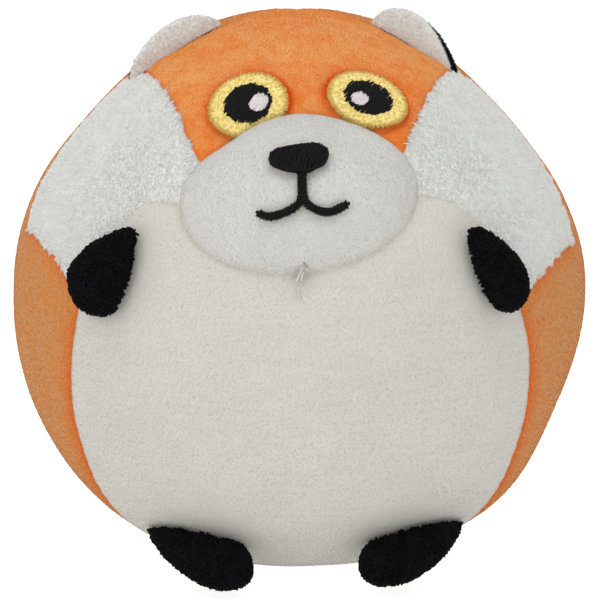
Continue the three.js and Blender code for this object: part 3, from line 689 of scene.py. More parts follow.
# Draws the rim of a grid in by half the gap of a seam.
def insetRim(grid):
    rows, columns = grid.shape[:2]
    nearRows = grid[np.clip(np.arange(rows), 1, rows - 2)]
    toward = nearRows[:, np.clip(np.arange(columns), 1, columns - 2)]
    closes = np.linalg.norm(grid[:, 0] - grid[:, -1], axis=1) < 1e-5
    toward[closes] = nearRows[closes][:, columns // 2][:, None]
    length = np.maximum(np.linalg.norm(toward - grid, axis=-1) * ball["radius"], 1e-6)
    share = np.minimum(skin["gap"] / 2 / length, 0.9)[..., None]
    onRim = np.zeros((rows, columns, 1), bool)
    onRim[[0, -1]] = True
    onRim[:, [0, -1]] = True
    return unit(np.where(onRim, grid * (1 - share) + toward * share, grid))


# Pile


# A geometry tree with named inputs, and its inputs as outputs to take from
def newTree(name, *sizes):
    tree = bpy.data.node_groups.new(name, "GeometryNodeTree")
    kinds = {"Geometry": "Geometry", "Material": "Material", "Seed": "Int"}
    for key in ("Geometry", *sizes, "Seed", "Material"):
        tree.interface.new_socket(key, in_out="INPUT", socket_type="NodeSocket" + kinds.get(key, "Float"))
    tree.interface.new_socket("Geometry", in_out="OUTPUT", socket_type="NodeSocketGeometry")
    net = Net(tree)
    return net, net.add("GroupInput").node.outputs


# Puts strands on the marked faces, leaning along "nap" with some scatter and in soft clumps.
def pileTree(name, strandOf, mark="pile"):
    net, given = newTree(name, "Density", "Length", "Width", "Lean", "Scatter", "Clumping", "Clump Size",
                         "Softness")
    seed = given["Seed"]
    points = net.add("DistributePointsOnFaces", {
        "Mesh": given["Geometry"], "Selection": net.named(mark, "BOOLEAN"), "Density": given["Density"],
        "Seed": seed})
    normal = points.node.outputs["Normal"]
    loose = net.vector("SCALE", net.randomVector(seed), given["Scatter"])
    perClump = net.math("DIVIDE", 1.0, given["Clump Size"])
    clump = net.add("TexNoise", {
        "Vector": net.add("InputPosition"), "Scale": perClump, "Detail": 1.0}, "Color")
    clump = net.vector("SCALE", net.vector("SUBTRACT", clump, (0.5, 0.5, 0.5)), given["Clumping"])
    way = net.vector("ADD", normal, net.vector("SCALE", net.named("nap"), given["Lean"]))
    way = net.vector("ADD", way, net.vector("ADD", loose, clump))
    spin = net.randomVector(net.math("ADD", seed, 7))
    turn = net.add("AxesToRotation", {0: way, 1: spin}, primary_axis="Z", secondary_axis="X")
    varied = net.randomNumber(0.7, 1.2, net.math("ADD", seed, 3))
    scale = (given["Width"], given["Width"], net.math("MULTIPLY", given["Length"], varied))
    strands = net.lay(net.store(points, "cloth", normal), strandOf(net), turn, scale)
    joined = net.add("JoinGeometry")
    for part in (given["Geometry"], strands):
        net.link(part, joined.node.inputs[0])
    # Strands are shaded mostly as the cloth they stand on, as fine pile scatters light.
    own = net.vector("SCALE", net.add("InputNormal"), net.math("SUBTRACT", 1.0, given["Softness"]))
    shared = net.vector("SCALE", net.named("cloth"), given["Softness"])
    shading = net.add("VectorMath", {0: net.vector("ADD", own, shared)}, operation="NORMALIZE")
    softened = net.add("SetMeshNormal", {"Mesh": joined, "Custom Normal": shading},
                       mode="FREE", domain="POINT")
    return net.finish(softened, given["Material"])


# A straight strand of unit size with three sides and a point, its "tip" attribute rising to 1.
def straightStrand(net):
    cone = net.add("MeshCone", {
        "Vertices": 3, "Side Segments": 1, "Radius Top": 0.0, "Radius Bottom": 0.577, "Depth": 1.0})
    return net.store(cone, "tip", net.add("SeparateXYZ", {0: net.add("InputPosition")}, 2), "FLOAT")


# A curled strand: a short coil that tapers to its end.
def curledStrand(net):
    coil = net.add("CurveSpiral", {
        "Resolution": 7, "Rotations": 0.72, "Start Radius": 0.55, "End Radius": 0.9, "Height": 1.0})
    along = net.add("SplineParameter", take="Factor")
    slim = net.math("SUBTRACT", 1.0, net.math("MULTIPLY", along, 0.55))
    return net.tube(net.store(coil, "tip", along, "FLOAT"), slim, 4, 0.42)


# Runs a tree on a piece, keeps its result as a plain mesh and takes the modifier off.
def runTree(piece, tree, values):
    modifier = piece.modifiers.new(tree.name, "NODES")
    modifier.node_group = tree
    sockets = {item.name: item.identifier for item in tree.interface.items_tree if item.in_out == "INPUT"}
    for name, value in values.items():
        modifier[sockets[name]] = value
    piece.update_tag()
    graph = bpy.context.evaluated_depsgraph_get()
    grown = bpy.data.meshes.new_from_object(piece.evaluated_get(graph))
    piece.modifiers.remove(modifier)
    old, piece.data = piece.data, grown
    grown.name = old.name
    bpy.data.meshes.remove(old)
    return piece


shortPile = pileTree("shortPile", straightStrand)
curlyPile = pileTree("curlyPile", curledStrand)
fringePile = pileTree("fringePile", straightStrand, mark="fringe")

# Strands on a square millimetre, their length and width, how much they lean, scatter and clump, the size
# of a clump, and how much of the cloth's own shading they take
pileOf = {
    "forehead": (17, 0.24, 0.15, 1.0, 0.8, 0.15, 2.5, 1.0),
    "muzzle": (17, 0.22, 0.14, 1.0, 0.8, 0.12, 2.5, 1.0),
    "belly": (6.8, 0.17, 0.2, 1.3, 0.8, 0.15, 3.0, 1.0),
    "back": (4.2, 0.21, 0.22, 1.3, 0.8, 0.2, 3.5, 1.0),
    "cheek": (12, 0.4, 0.3, 1.2, 0.9, 0.9, 1.6, 1.0),
    "fringe": (12, 1.0, 0.36, 2.2, 0.6, 1.2, 1.6, 1.0),
    "limb": (9, 0.5, 0.4, 0.2, 0.9, 0.5, 2.0, 0.5),
    "ear": (16, 0.5, 0.14, 0.8, 0.9, 0.3, 2.0, 1.0),
    "tail": (12, 0.45, 0.17, 1.2, 0.5, 0.5, 3.0, 0.98),
}


def growPile(piece, kind, material, seed, pile):
    density, length, width, lean, scatter, clumping, clumpSize, softness = pileOf[pile]
    runTree(piece, kind, {
        "Density": density / mm**2, "Length": length * mm, "Width": width * mm, "Lean": lean,
        "Scatter": scatter, "Clumping": clumping, "Clump Size": clumpSize * mm, "Softness": softness,
        "Seed": seed, "Material": material})


# Marks the faces that carry pile and gives each point its nap, downwards along the surface unless
# another way is given.
def markPile(mesh, carries, paintedShade, napOf, fringed):
    mesh.update()
    faces = readAll(mesh.polygons, "center") / mm, readAll(mesh.polygons, "normal")
    store(mesh, "pile", "BOOLEAN", carries(*faces), "FACE")
    if fringed:
        store(mesh, "fringe", "BOOLEAN", fringed(*faces), "FACE")
    normals = readAll(mesh.vertex_normals, "vector")
    nap = napOf(vertexPlaces(mesh)) if napOf else np.array([0, 0, -1.0])
    nap = nap - normals * np.sum(nap * normals, axis=1)[:, None]
    store(mesh, "nap", "FLOAT_VECTOR", nap / np.maximum(np.linalg.norm(nap, axis=1)[:, None], 0.35))
    # Painted shade: how far each point's colour darkens towards the finish's crease colour
    store(mesh, "crease", "FLOAT", paintedShade(vertexPlaces(mesh)))


def followCrown(piece):
    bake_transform(piece)


# Hides the parts of the model that a finished piece stands in for, and sets what it moves with.
def declare(piece, nodes, follow=followCrown):
    if nodes:
        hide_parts(*nodes)
    follow(piece)


def noPaintedShade(points):
    return np.zeros(len(points))


# Gives a mesh its pile and its finish. The pile is the tree, the row of pileOf and the seed.
def dress(name, mesh, finish, pile, nodes, slot, fill, carries, paintedShade=noPaintedShade, follow=followCrown,
          napOf=None, fringed=None):
    kind, row, seed = pile
    markPile(mesh, carries, paintedShade, napOf, fringed)
    piece = addPiece(name + "_plush", mesh, finishes[finish])
    growPile(piece, kind, finishes[finish], seed, row)
    if fringed:
        growPile(piece, fringePile, finishes[finish], seed + 5, "fringe")
    dropMarks(piece.data, "pile", "fringe", "nap", "cloth")
    declare(piece, nodes, follow)
    print(name, "has", len(piece.data.polygons), "faces")


# Finishes


# Plush: darker and richer at the roots of its pile, lighter at the tips, and darker still where shade is
# painted into its creases.
def plush(name, tips, roots, crease, patches=5.0, grain=1.6, contrast=0.3, stretch=(1, 1, 1), sheen=0.2,
          bump=0.15, paintedLightByHeight=None):
    material, net, shader = newMaterial(name, Roughness=0.95, Sheen_Weight=sheen, Sheen_Roughness=0.5,
                                        Specular_IOR_Level=0.08)
    fine = net.noise(grain, 3.0, stretch)
    lit = net.remap(net.attribute("tip"), 0, 1, 0.4, 0.6)
    for pattern in (fine, net.noise(patches)):
        lit = net.math("ADD", lit, net.remap(pattern, 0.3, 0.7, -contrast, contrast))
    if paintedLightByHeight:
        # Painted light: its lighter tips show more or less from one height to another, standing in for the
        # pile's sheen and shade at a graze.
        low, high, atLow, atHigh = paintedLightByHeight
        height = net.add("SeparateXYZ", {0: net.add("TexCoord", take="Object")}, 2)
        lit = net.math("ADD", lit, net.remap(height, low * mm, high * mm, atLow, atHigh))
    colour = net.mix(net.remap(lit, 0, 1), roots, tips)
    # Painted shade: the "crease" attribute mixes the darker crease colour in.
    net.link(net.mix(net.attribute("crease"), colour, crease), shader["Base Color"])
    net.bump(shader, fine, bump, 0.3)
    return material


# Thread: speckled, with painted shade where its edge rolls down.
def threadFinish(name, light, dark, edge, roughness, gloss, speck=0.3):
    material, net, shader = newMaterial(name, Roughness=roughness, Specular_IOR_Level=gloss)
    fine = net.noise(speck, roughness=0.7)
    colour = net.mix(net.remap(fine, 0.38, 0.62), dark, light)
    # Painted shade: the "rim" attribute mixes the darker edge colour in.
    net.link(net.mix(net.attribute("rim"), colour, edge), shader["Base Color"])
    net.bump(shader, fine, 0.6, 0.12)
    return material


# Each plush finish gives its tips, its roots and the darker colour of the shade painted into its creases.
finishes = {
    "orange": plush("orangePlush", (230, 166, 100), (230, 127, 38), (226, 90, 10), sheen=0.08,
                    paintedLightByHeight=(66, 90, -0.35, 0.35)),
    # Painted light: a copy of the orange plush, browner and duller, standing in for the sheen and shade that
    # the back and sides show at a graze
    "orangeBackPaintedLight": plush("orangeBackPlush", (193, 147, 98), (202, 132, 70), (214, 103, 40), 7.0, sheen=0.08,
                        paintedLightByHeight=(76, 96, -0.15, -0.8)),
    "white": plush("whitePlush", (214, 213, 209), (207, 205, 200), (186, 178, 162), 7.0, 1.2, bump=0.12),
    "belly": plush("bellyPlush", (209, 207, 200), (202, 200, 192), (186, 176, 158), 9.0, 1.8,
                   stretch=(0.25, 0.25, 2.4), bump=0.12),
    "sherpa": plush("whiteSherpa", (227, 228, 224), (220, 220, 216), (208, 205, 199)),
    "black": plush("blackTerry", (17, 17, 19), (7, 7, 8), (6, 6, 7), 3.0, 0.6, 0.5, sheen=0.0, bump=0.3),
    "ear": plush("earPlush", (226, 226, 222), (221, 220, 216), (206, 184, 175), grain=1.2, bump=0.12),
    "gold": threadFinish("goldThread", (248, 232, 152), (214, 180, 88), (178, 140, 50), 0.45, 0.35, 0.5),
    "blackThread": threadFinish("blackThread", (20, 18, 18), (6, 5, 6), (6, 5, 6), 0.75, 0.15),
    "whiteThread": threadFinish("whiteThread", (232, 227, 227), (208, 198, 198), (186, 172, 172), 0.6, 0.2),
    "brownThread": threadFinish("brownThread", (176, 158, 136), (130, 112, 92), (130, 112, 92), 0.7, 0.1),
}
print("finishes are made")

# The skin

eyes = {
    "left": {"azimuth": 21.1, "elevation": 48.2, "ringRadius": 6.55, "pupilRadius": 4.05, "tilt": -20,
             "stretch": (1.1, 0.93), "glint": (-1.8, -0.3), "glintRadius": 1.4},
    "right": {"azimuth": -15, "elevation": 47, "ringRadius": 7, "pupilRadius": 4.25, "tilt": 0,
              "stretch": (1, 1), "glint": (2.0, 0.1), "glintRadius": 1.6},
}
# How deep the rings press into the forehead, how far outside themselves, and over which spread
ringPress = (0.35, 0.4, 1.0)
# The cheeks' long pile lies in round tufts, and longer tufts of it hang over their seams.
tuft = {"size": 1.9, "height": 0.3, "radius": 0.8, "seamFade": 1.6, "fringeReach": 1.1, "fringeSize": 1.5}


def clampToFloor(points, lowest):
    points[..., 2] = np.maximum(points[..., 2], lowest)
    return points


def eyeSpot(eye):
    return spot(eye["azimuth"], eye["elevation"], eye["tilt"])


# How far outside the ring of an eye a direction lies.
def beyondRing(ways, eye):
    far, s, t = fromSpot(eyeSpot(eye), ways)
    return far * np.hypot(s / eye["stretch"][0], t / eye["stretch"][1]) - eye["ringRadius"]


# How much painted shade deepens the colour of the pile, how far from a seam or a ring, and over which spread
deeper = {
    "seam": [(1, 0, 0.7)],
    "back": [(0.55, 0, 0.8), (0.4, 0.4, 2.2)],
    "ring": [(1, 0.45, 0.8), (0.4, 0, 4)],
    # Below a ring its share of what it is above
    "belowRing": 0.3,
}


def deepened(far, name):
    return sum(share * hump(far, middle, spread) for share, middle, spread in deeper[name])


# Painted shade along the seams' grooves, stronger where a seam draws in more.
def paintedSeamShade(points):
    far, _, pull = nearestSeam(offBall(points)[1])
    return deepened(far, "seam") * pull


# Painted shade: the back's colour deepens softly towards its seams.
def paintedBackSeamShade(points):
    far, _, pull = nearestSeam(offBall(points)[1])
    return deepened(far, "back") * np.minimum(1, pull * 1.3)


# Painted shade round the rings of the eyes, most above them, partly the deeper colour of the pile pressed in
# by their stitching.
def paintedEyeShade(points):
    ways = offBall(points)[1]
    shadeHere = paintedSeamShade(points)
    for eye in eyes.values():
        far = beyondRing(ways, eye)
        above = np.clip(0.5 + fromSpot(eyeSpot(eye), ways)[2], 0, 1)
        share = deeper["belowRing"] + (1 - deeper["belowRing"]) * above
        shadeHere = np.maximum(shadeHere, deepened(far, "ring") * share)
    return np.minimum(shadeHere, 1)


def outward(centres, normals):
    return (np.sum(offBall(centres)[1] * normals, axis=1) > 0.3) & (centres[:, 2] > skin["pileFrom"])


# Carries pile where it stands clear of the ball and of the floor.
def standsOff(clear):
    def carries(centres, normals):
        far, ways = offBall(centres)
        return (far > tuckedReach(ways) + clear) & (centres[:, 2] > skin["pileFrom"])

    return carries


def clearOfEyes(centres, normals):
    ways = offBall(centres)[1]
    return outward(centres, normals) & np.all([beyondRing(ways, eye) > -0.5 for eye in eyes.values()], axis=0)


def foreheadReach(ways):
    depth, at, spread = ringPress
    return clothReach(ways) - sum(depth * hump(beyondRing(ways, eye), at, spread) for eye in eyes.values())


def cheekReach(ways):
    spots = (ways * ball["radius"] / tuft["size"]).reshape(-1, 3)
    nearest = np.array([noise.voronoi(Vector(at))[0][0] for at in spots]).reshape(ways.shape[:-1])
    far, _, _ = nearestSeam(ways)
    swell = np.maximum(0, 1 - (nearest / tuft["radius"]) ** 2)
    return clothReach(ways) + (1 - hump(far, 0, tuft["seamFade"])) * tuft["height"] * swell


# The cheek's pile lies away from its middle.
def cheekNap(points):
    return unit(points - points.mean(axis=0))


def cheekFringe(centres, normals):
    ways = offBall(centres)[1]
    far, _, _ = nearestSeam(ways)
    inTuft = noiseAt(centres, tuft["fringeSize"], 3.0) > -0.05
    # None hangs over the muzzle and the belly beside it.
    x, y, z = ways.T
    beside = (np.degrees(np.arcsin(z)) < 37) & (np.degrees(np.arctan2(np.abs(x), -y)) < 50)
    return outward(centres, normals) & (far < tuft["fringeReach"]) & inTuft & ~beside


def makePanel(name, grid, finish, row, slot, seed, reachOf=clothReach, paintedShade=paintedSeamShade, carries=outward,
              **more):
    inset = insetRim(grid)
    reach = reachOf(inset)
    top = clampToFloor(onBall(inset, reach), skin["lowest"])
    under = clampToFloor(onBall(inset, reach - skin["wall"]), skin["lowest"] + skin["wall"])
    dress(name, wallMesh(name, top, under), finish, (shortPile, row, seed), [name], slot, skin["fill"],
          carries, paintedShade, **more)


left, right = (seamsOf(side, skin["stepsAcross"]) for side in (1, -1))
for (name, side), one in zip(sideOf.items(), (left, right)):
    forehead = patch(one["muzzleTop"], one["crown"], one["centreFront"], one["brow"])
    makePanel("forehead_" + name, forehead, "orange", "forehead", "orange_plush", 11 + side, foreheadReach,
              paintedEyeShade, clearOfEyes)
    lower = chain(one["cheekInner"], one["cheekUnder"][::-1])
    cheek = patch(one["muzzleSide"], one["cheekOuter"], one["brow"], lower)
    makePanel("cheek_" + name, cheek, "sherpa", "cheek", "white_sherpa", 21 + side, cheekReach,
              napOf=cheekNap, fringed=cheekFringe)
    rough = seamsOf(side, skin["stepsAcrossBack"])
    edge = chain(*(rough[seam] for seam in ("crown", "cheekOuter", "cheekUnder", "side", "bottom")))
    back = lune(edge, backSeam(len(edge) - 1), seams["roundBack"][0] * skin["stepsAcrossBack"])
    makePanel("back_" + name, back, "orangeBackPaintedLight", "back", "orange_plush", 31 + side, paintedShade=paintedBackSeamShade)

bellyGrid = patch(
    chain(right["muzzleBottom"], left["muzzleBottom"][::-1]), chain(right["bottom"], left["bottom"][::-1]),
    *(chain(one["cheekInner"], one["side"]) for one in (right, left)))
makePanel("belly", bellyGrid, "belly", "belly", "white_plush", 41)

rimParts = ("muzzleTop", "muzzleSide", "muzzleBottom")
muzzleRim = chain(*(left[part] for part in rimParts), *(right[part][::-1] for part in rimParts[::-1]))[:-1]


# Directions in rings about the muzzle's middle, up to its rim less half the seam gap.
def muzzleRings(rings, width=1.0):
    out = muzzleSpot["out"]
    full = np.arccos(np.clip(muzzleRim @ out, -1, 1)) - skin["gap"] / 2 / ball["radius"]
    toRim = unit(muzzleRim - out * (muzzleRim @ out)[:, None])
    angle = np.linspace(0, width, rings + 1)[:, None, None] * full[None, :, None]
    return np.cos(angle) * out + np.sin(angle) * toRim[None]


# The embroidery on the muzzle, across and up from its middle
mouth = {
    "nose": [(-4.75, 2.6), (-4.2, 3.75), (-1.9, 4.35), (0.9, 4.8), (2.7, 4.95), (4.1, 4.2), (4.4, 3.1),
             (3.8, 1.5), (2.5, 0.7), (1.3, 0), (-0.5, 0), (-1.9, 0.2), (-3.4, 0.8), (-4.5, 1.5)],
    "noseMiddle": (0, 2.6),
    "noseReach": 5,
    "leftLip": [(7.5, -4.7), (6.1, -5.5), (4.7, -6.2), (3.2, -6.2), (1.9, -5.7), (0.9, -5), (0.4, -3.6)],
    "rightLip": [(-6.6, -6.1), (-5.5, -6.8), (-4.2, -6.9), (-2.6, -6.5), (-1.1, -5.8), (-0.1, -5),
                 (0.3, -3.6)],
    "philtrum": [(0.3, 0.6), (0.3, -2.4), (0.4, -4.7)],
    "width": 0.85,
    "philtrumWidth": 0.95,
    "press": 0.35,
    "pressSpread": 1.6,
}
lipLines = [evenSteps(smoothLine(mouth[name]), 32) for name in ("leftLip", "rightLip")]
philtrumLine = evenSteps(smoothLine(mouth["philtrum"]), 14)
noseLine = evenSteps(smoothLine(mouth["nose"], closed=True), 72)[:-1]
drawnPoints = np.vstack([*lipLines, philtrumLine, noseLine])
mouthTree = KDTree(len(drawnPoints))
for index, (s, t) in enumerate(drawnPoints):
    mouthTree.insert((s, t, 0), index)
mouthTree.balance()


# The muzzle's cloth is pressed in along the nose and mouth.
def muzzleReach(ways):
    far, s, t = fromSpot(faceSpot, ways)
    flat = np.stack([far * s, far * t], axis=-1).reshape(-1, 2)
    fromThread = np.array([mouthTree.find((s, t, 0))[2] for s, t in flat]).reshape(ways.shape[:-1])
    return clothReach(ways) + muzzleRise(ways) - mouth["press"] * hump(fromThread, 0, mouth["pressSpread"])


def makeMuzzle():
    ways = muzzleRings(muzzle["rings"])
    reach = muzzleReach(ways)
    mesh = wallMesh("muzzle", onBall(ways, reach), onBall(ways, reach - skin["wall"]), goesRound=True)
    dress("muzzle", mesh, "white", (shortPile, "muzzle", 51), ["muzzle"], "white_plush", skin["fill"],
          outward, paintedSeamShade)


makeMuzzle()
print("the skin is sewn")

# Arms and feet

limb = {
    "sides": 72, "rings": 12, "swell": 1.22, "lump": 0.25, "lumpSize": 3.5,
    # The cloth lies this far inside the outline of the pile.
    "pileRoom": 0.15, "fill": 0.8,
}
# The middle is how far along its middle lies, and a higher dome is a blunter rim.
arm = {
    "elevation": 17, "rootWidth": 4.5, "front": 3.75, "back": 1.55, "seat": 1.85, "middle": 0.6, "dome": 2.2,
}
armOf = {
    "left": {"azimuth": 35, "tilt": 31, "length": 15.3, "width": 9.4},
    "right": {"azimuth": 33.6, "tilt": 35, "length": 15.8, "width": 13.2},
}
foot = {
    "rootWidth": 7, "width": 13.2, "front": 3.3, "back": 3.2, "middle": 0.68, "dome": 3.2,
    "clear": 0.5, "lowest": 0.5, "pileClear": 0.9,
}
footOf = {
    "left": {"root": (28, -18.8, 10.8), "toe": (12.4, -39.2, 4.8)},
    "right": {"root": (25.6, -20.3, 10.4), "toe": (9.8, -39.8, 4.3)},
}


# A stuffed teardrop from a narrow root at (0, 0) to a round end, in rows from the middle of its front over
# its rim to the middle of its back: across, up and out.
def stuffed(length, width, form):
    taper = form["rootWidth"] / width
    turn = fullTurn(limb["sides"])
    along = (1 - np.cos(turn)) / 2
    swell = taper + (1 - taper) * np.minimum(1, limb["swell"] * along)
    outline = np.stack([width / 2 * np.sin(turn) * swell, -length * along], axis=1)
    middle = np.array([0, -length / 2])
    outline = middle + (outline - middle) * (1 - 2 * limb["pileRoom"] / np.array([width, length]))
    middle = np.array([0, outline[limb["sides"] // 2][1] * form["middle"]])
    share = np.sin(np.linspace(0, np.pi / 2, limb["rings"] + 1))
    shares = np.concatenate([share, share[::-1][1:]])
    rise = np.sqrt(np.maximum(0, 1 - shares ** form["dome"]))
    heights = np.where(np.arange(len(shares)) <= limb["rings"], form["front"] * rise, -form["back"] * rise)
    flat = middle + (outline[None] - middle) * shares[:, None, None]
    return flat[..., 0], flat[..., 1], np.broadcast_to(heights[:, None], flat.shape[:2])


def lumpy(rows):
    lumps = noiseAt(rows, limb["lumpSize"], 5.0)
    return rows + unit(rows - rows.reshape(-1, 3).mean(axis=0)) * (lumps * limb["lump"])[..., None]


def finishLimb(name, rows, seed, carries):
    nodes = [name + "_" + part for part in ("front", "back", "filling")]
    dress(name, roundMesh(name, rows), "black", (curlyPile, "limb", seed), nodes, "black_plush", limb["fill"],
          carries, follow=lambda piece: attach(piece, name))


def makeArm(name, side, size):
    place = spot(side * size["azimuth"], arm["elevation"], side * size["tilt"])
    s, t, height = stuffed(size["length"], size["width"], arm)
    ways = onSpot(place, s, t)
    rows = lumpy(onBall(ways, ballReach(ways) + arm["seat"] + height))
    finishLimb("arm_" + name, rows, 61 + side,
               lambda centres, normals: np.sum(offBall(centres)[1] * normals, axis=1) > -0.25)


def makeFoot(name, side, size):
    root, toe = (np.array([side * x, y + ball["middleY"], z]) for x, y, z in (size["root"], size["toe"]))
    length = np.linalg.norm(toe - root)
    along = (toe - root) / length
    across = unit(np.cross((0, 0, 1), along))
    up = np.cross(along, across)
    s, t, height = stuffed(length, foot["width"], foot)
    far, ways = offBall(lumpy(root + s[..., None] * across - t[..., None] * along + height[..., None] * up))
    rows = clampToFloor(onBall(ways, np.maximum(far, tuckedReach(ways) + foot["clear"])), foot["lowest"])
    finishLimb("foot_" + name, rows, 71 + side, standsOff(foot["pileClear"]))


for name, side in sideOf.items():
    makeArm(name, side, armOf[name])
    makeFoot(name, side, footOf[name])
print("arms and feet are stuffed")

# Ears

ear = {
    "azimuth": 76, "elevation": 64.5, "halfWidth": 9, "thickness": 1.2, "rootDepth": 2.2, "lean": 4,
    "columns": 60, "rows": 18, "sunk": 0.5, "gap": 0.15, "rimShare": 0.45, "pileRoom": 0.25, "fill": 0.3,
    # Above the ball, where the flap starts to bend and where it has bent fully
    "bendsOver": (-0.8, 2.2),
    # Columns of the flap lower than this are left out, and painted shade deepens its colour over this height
    # at its foot.
    "lowestColumn": 0.4, "paintedShadeOver": 1.5, "crease": 0.35,
}
# Each ear's height, how far its top slants towards the crown, how much wider or narrower its outer and inner
# halves are, how straight the outer half slopes (0.5 is round) and how far its black back stands out past its
# white front, along the seam and up
earOf = {
    "left": {"height": 5.1, "slant": 2.2, "outer": 1.03, "inner": 0.9, "slope": 0.95,
             "backShift": (-1.4, -0.5)},
    "right": {"height": 4.3, "slant": 0.4, "outer": 1.3, "inner": 0.94, "slope": 0.7,
              "backShift": (0, -0.6)},
}


# A rotation of a vector about an axis.
def turnAbout(vector, axis, angle):
    cosine, sine = math.cos(angle), math.sin(angle)
    return vector * cosine + np.cross(axis, vector) * sine + axis * np.dot(axis, vector) * (1 - cosine)


def makeEar(name, side, size):
    place = spot(side * ear["azimuth"], ear["elevation"])
    away, along = place["out"], place["up"]
    middle = centre + away * (float(tuckedReach(away[None])[0]) - ear["rootDepth"])
    front = unit(np.cross(away, along)) * side
    upward = turnAbout(away, along, math.radians(side * ear["lean"]))

    def earFace(part, shift, hand, finish, slot, seed):
        wide = ear["halfWidth"] - ear["pileRoom"]
        tall = size["height"] + ear["rootDepth"] - ear["pileRoom"] + shift[1]

        def flapAt(s, t, shift=0):
            sideways = s[None] + shift + size["slant"] * t / tall
            return middle + sideways[..., None] * along + t[..., None] * upward

        s = wide * np.sin(np.linspace(-1, 1, ear["columns"] + 1) * np.pi / 2)
        share = np.maximum(0, 1 - (s / wide) ** 2)
        top = tall * np.where(s < 0, share ** size["slope"], np.sqrt(share))
        s = np.where(s < 0, s * size["outer"], s * size["inner"])
        # The flap starts where it leaves the ball, found by stepping up from below.
        steps = np.linspace(0, 1, 60)[:, None] * top[None]
        far, ways = offBall(flapAt(s, steps))
        outside = far > tuckedReach(ways) - ear["sunk"]
        firstOut = np.take_along_axis(steps, outside.argmax(axis=0)[None], 0)[0]
        low = np.where(outside.any(axis=0), firstOut, top)
        stands = top - low > ear["lowestColumn"]
        s, low, top = s[stands], low[stands], top[stands]
        t = low + (top - low) * np.linspace(0, 1, ear["rows"] + 1)[:, None]
        across = s / wide / np.where(s < 0, size["outer"], size["inner"])
        share = np.clip(np.hypot(across, t / top * np.sqrt(np.maximum(0, 1 - across**2))), 0, 1)
        swell = np.sqrt(np.maximum(0, 1 - share**2.2))
        thick = ear["thickness"] * (ear["rimShare"] + (1 - ear["rimShare"]) * swell)
        inner = flapAt(s, t, shift[0]) + front * hand * ear["gap"]
        mesh = wallMesh(part, inner + front * hand * thick[..., None], inner)

        def carries(centres, normals):
            return normals @ (front * hand) > -0.2

        # Painted shade at the foot of the flap, where it meets the head
        def paintedShade(points):
            rise = (points - middle) @ upward - ear["rootDepth"]
            return np.clip(1 - rise / ear["paintedShadeOver"], 0, 1) * ear["crease"]

        dress(part, mesh, finish, (shortPile, "ear", seed), [part], slot, ear["fill"], carries, paintedShade,
              lambda piece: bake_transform(piece))

    earFace("ear_front_" + name, (0, 0), 1, "ear", "white_plush", 81 + side)
    earFace("ear_back_" + name, size["backShift"], -1, "black", "black_plush", 85 + side)


for name, side in sideOf.items():
    makeEar(name, side, earOf[name])
print("ears are set in the seam")

# The tail

tail = {
    "elevation": -36, "rise": -28, "length": 20, "radius": 6.5, "rootRadius": 3.6, "tipShare": 0.62,
    "widestShare": 0.55, "sunk": 0.5, "clear": 0.2, "pileClear": 0.8, "crease": 0.5, "creaseSpread": 0.8,
    "sides": 48, "rings": 28,
}


def tailRadius(share):
    widest = tail["widestShare"]
    rise = np.sin(np.pi / 2 * np.minimum(share / widest, 1))
    low = tail["rootRadius"] + (tail["radius"] - tail["rootRadius"]) * rise
    rest = np.maximum(0, share - widest) / (1 - widest)
    return np.where(share < widest, low, tail["radius"] * np.sqrt(np.maximum(0, 1 - rest**2)))


# Points in rings about +Y
def spun(radii, heights, sides):
    turn = fullTurn(sides)
    x, z = radii[:, None] * np.sin(turn), radii[:, None] * np.cos(turn)
    return np.stack([x, np.broadcast_to(heights[:, None], x.shape), z], -1)


# The tail's rings, tipped about X and kept out of the ball.
def tailRows(shares, radii):
    way = direction(180, tail["elevation"])
    root = centre + way * (float(ballReach(way[None])[0]) - tail["sunk"])
    cosine, sine = math.cos(math.radians(tail["rise"])), math.sin(math.radians(tail["rise"]))
    x, y, z = np.moveaxis(spun(radii, shares * tail["length"], tail["sides"]), -1, 0)
    far, ways = offBall(root + np.stack([x, y * cosine - z * sine, y * sine + z * cosine], -1))
    return onBall(ways, np.maximum(far, tuckedReach(ways) + tail["clear"]))


def makeTailPart(name, start, end, finish, slot, seed, nodes):
    shares = start + (end - start) * np.sin(np.linspace(0, np.pi / 2, tail["rings"]))
    creaseAt = tail["tipShare"] * tail["length"]
    crease = hump(shares * tail["length"], creaseAt, tail["creaseSpread"])
    outer = tailRadius(shares) - tail["crease"] * crease
    rows = tailRows(np.concatenate([shares[:1], shares, shares[-1:]]), np.concatenate([[0], outer, [0]]))
    dress(name, roundMesh(name, rows), finish, (shortPile, "tail", seed), nodes, slot, limb["fill"],
          standsOff(tail["pileClear"]), follow=lambda piece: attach(piece, "tail"))


halfGap = skin["gap"] / tail["length"] / 2
makeTailPart("tail_cover", 0, tail["tipShare"] - halfGap, "orangeBackPaintedLight", "orange_plush", 91,
             ["tail_cover", "tail_filling"])
makeTailPart("tail_tip", tail["tipShare"] + halfGap, 1, "white", "white_plush", 92, ["tail_tip"])
print("the tail hangs")

# Embroidery

# Heights above the cloth, widths of thread and the spacing of the lips' stitches
thread = {
    "lift": 0.15, "top": 0.45, "width": 0.26, "blackWidth": 0.36, "glintWidth": 0.24, "noseWidth": 0.42,
    "lipWidth": 0.44, "lipSpacing": 0.34,
    # How much higher than the top the paddings and threads of each part lie
    "pupilPad": 0.08, "pupilOver": 0.12, "glintPad": 0.28, "glintOver": 0.3, "noseOver": 0.15,
    "noseDome": 0.6, "lipOver": 0.1,
}


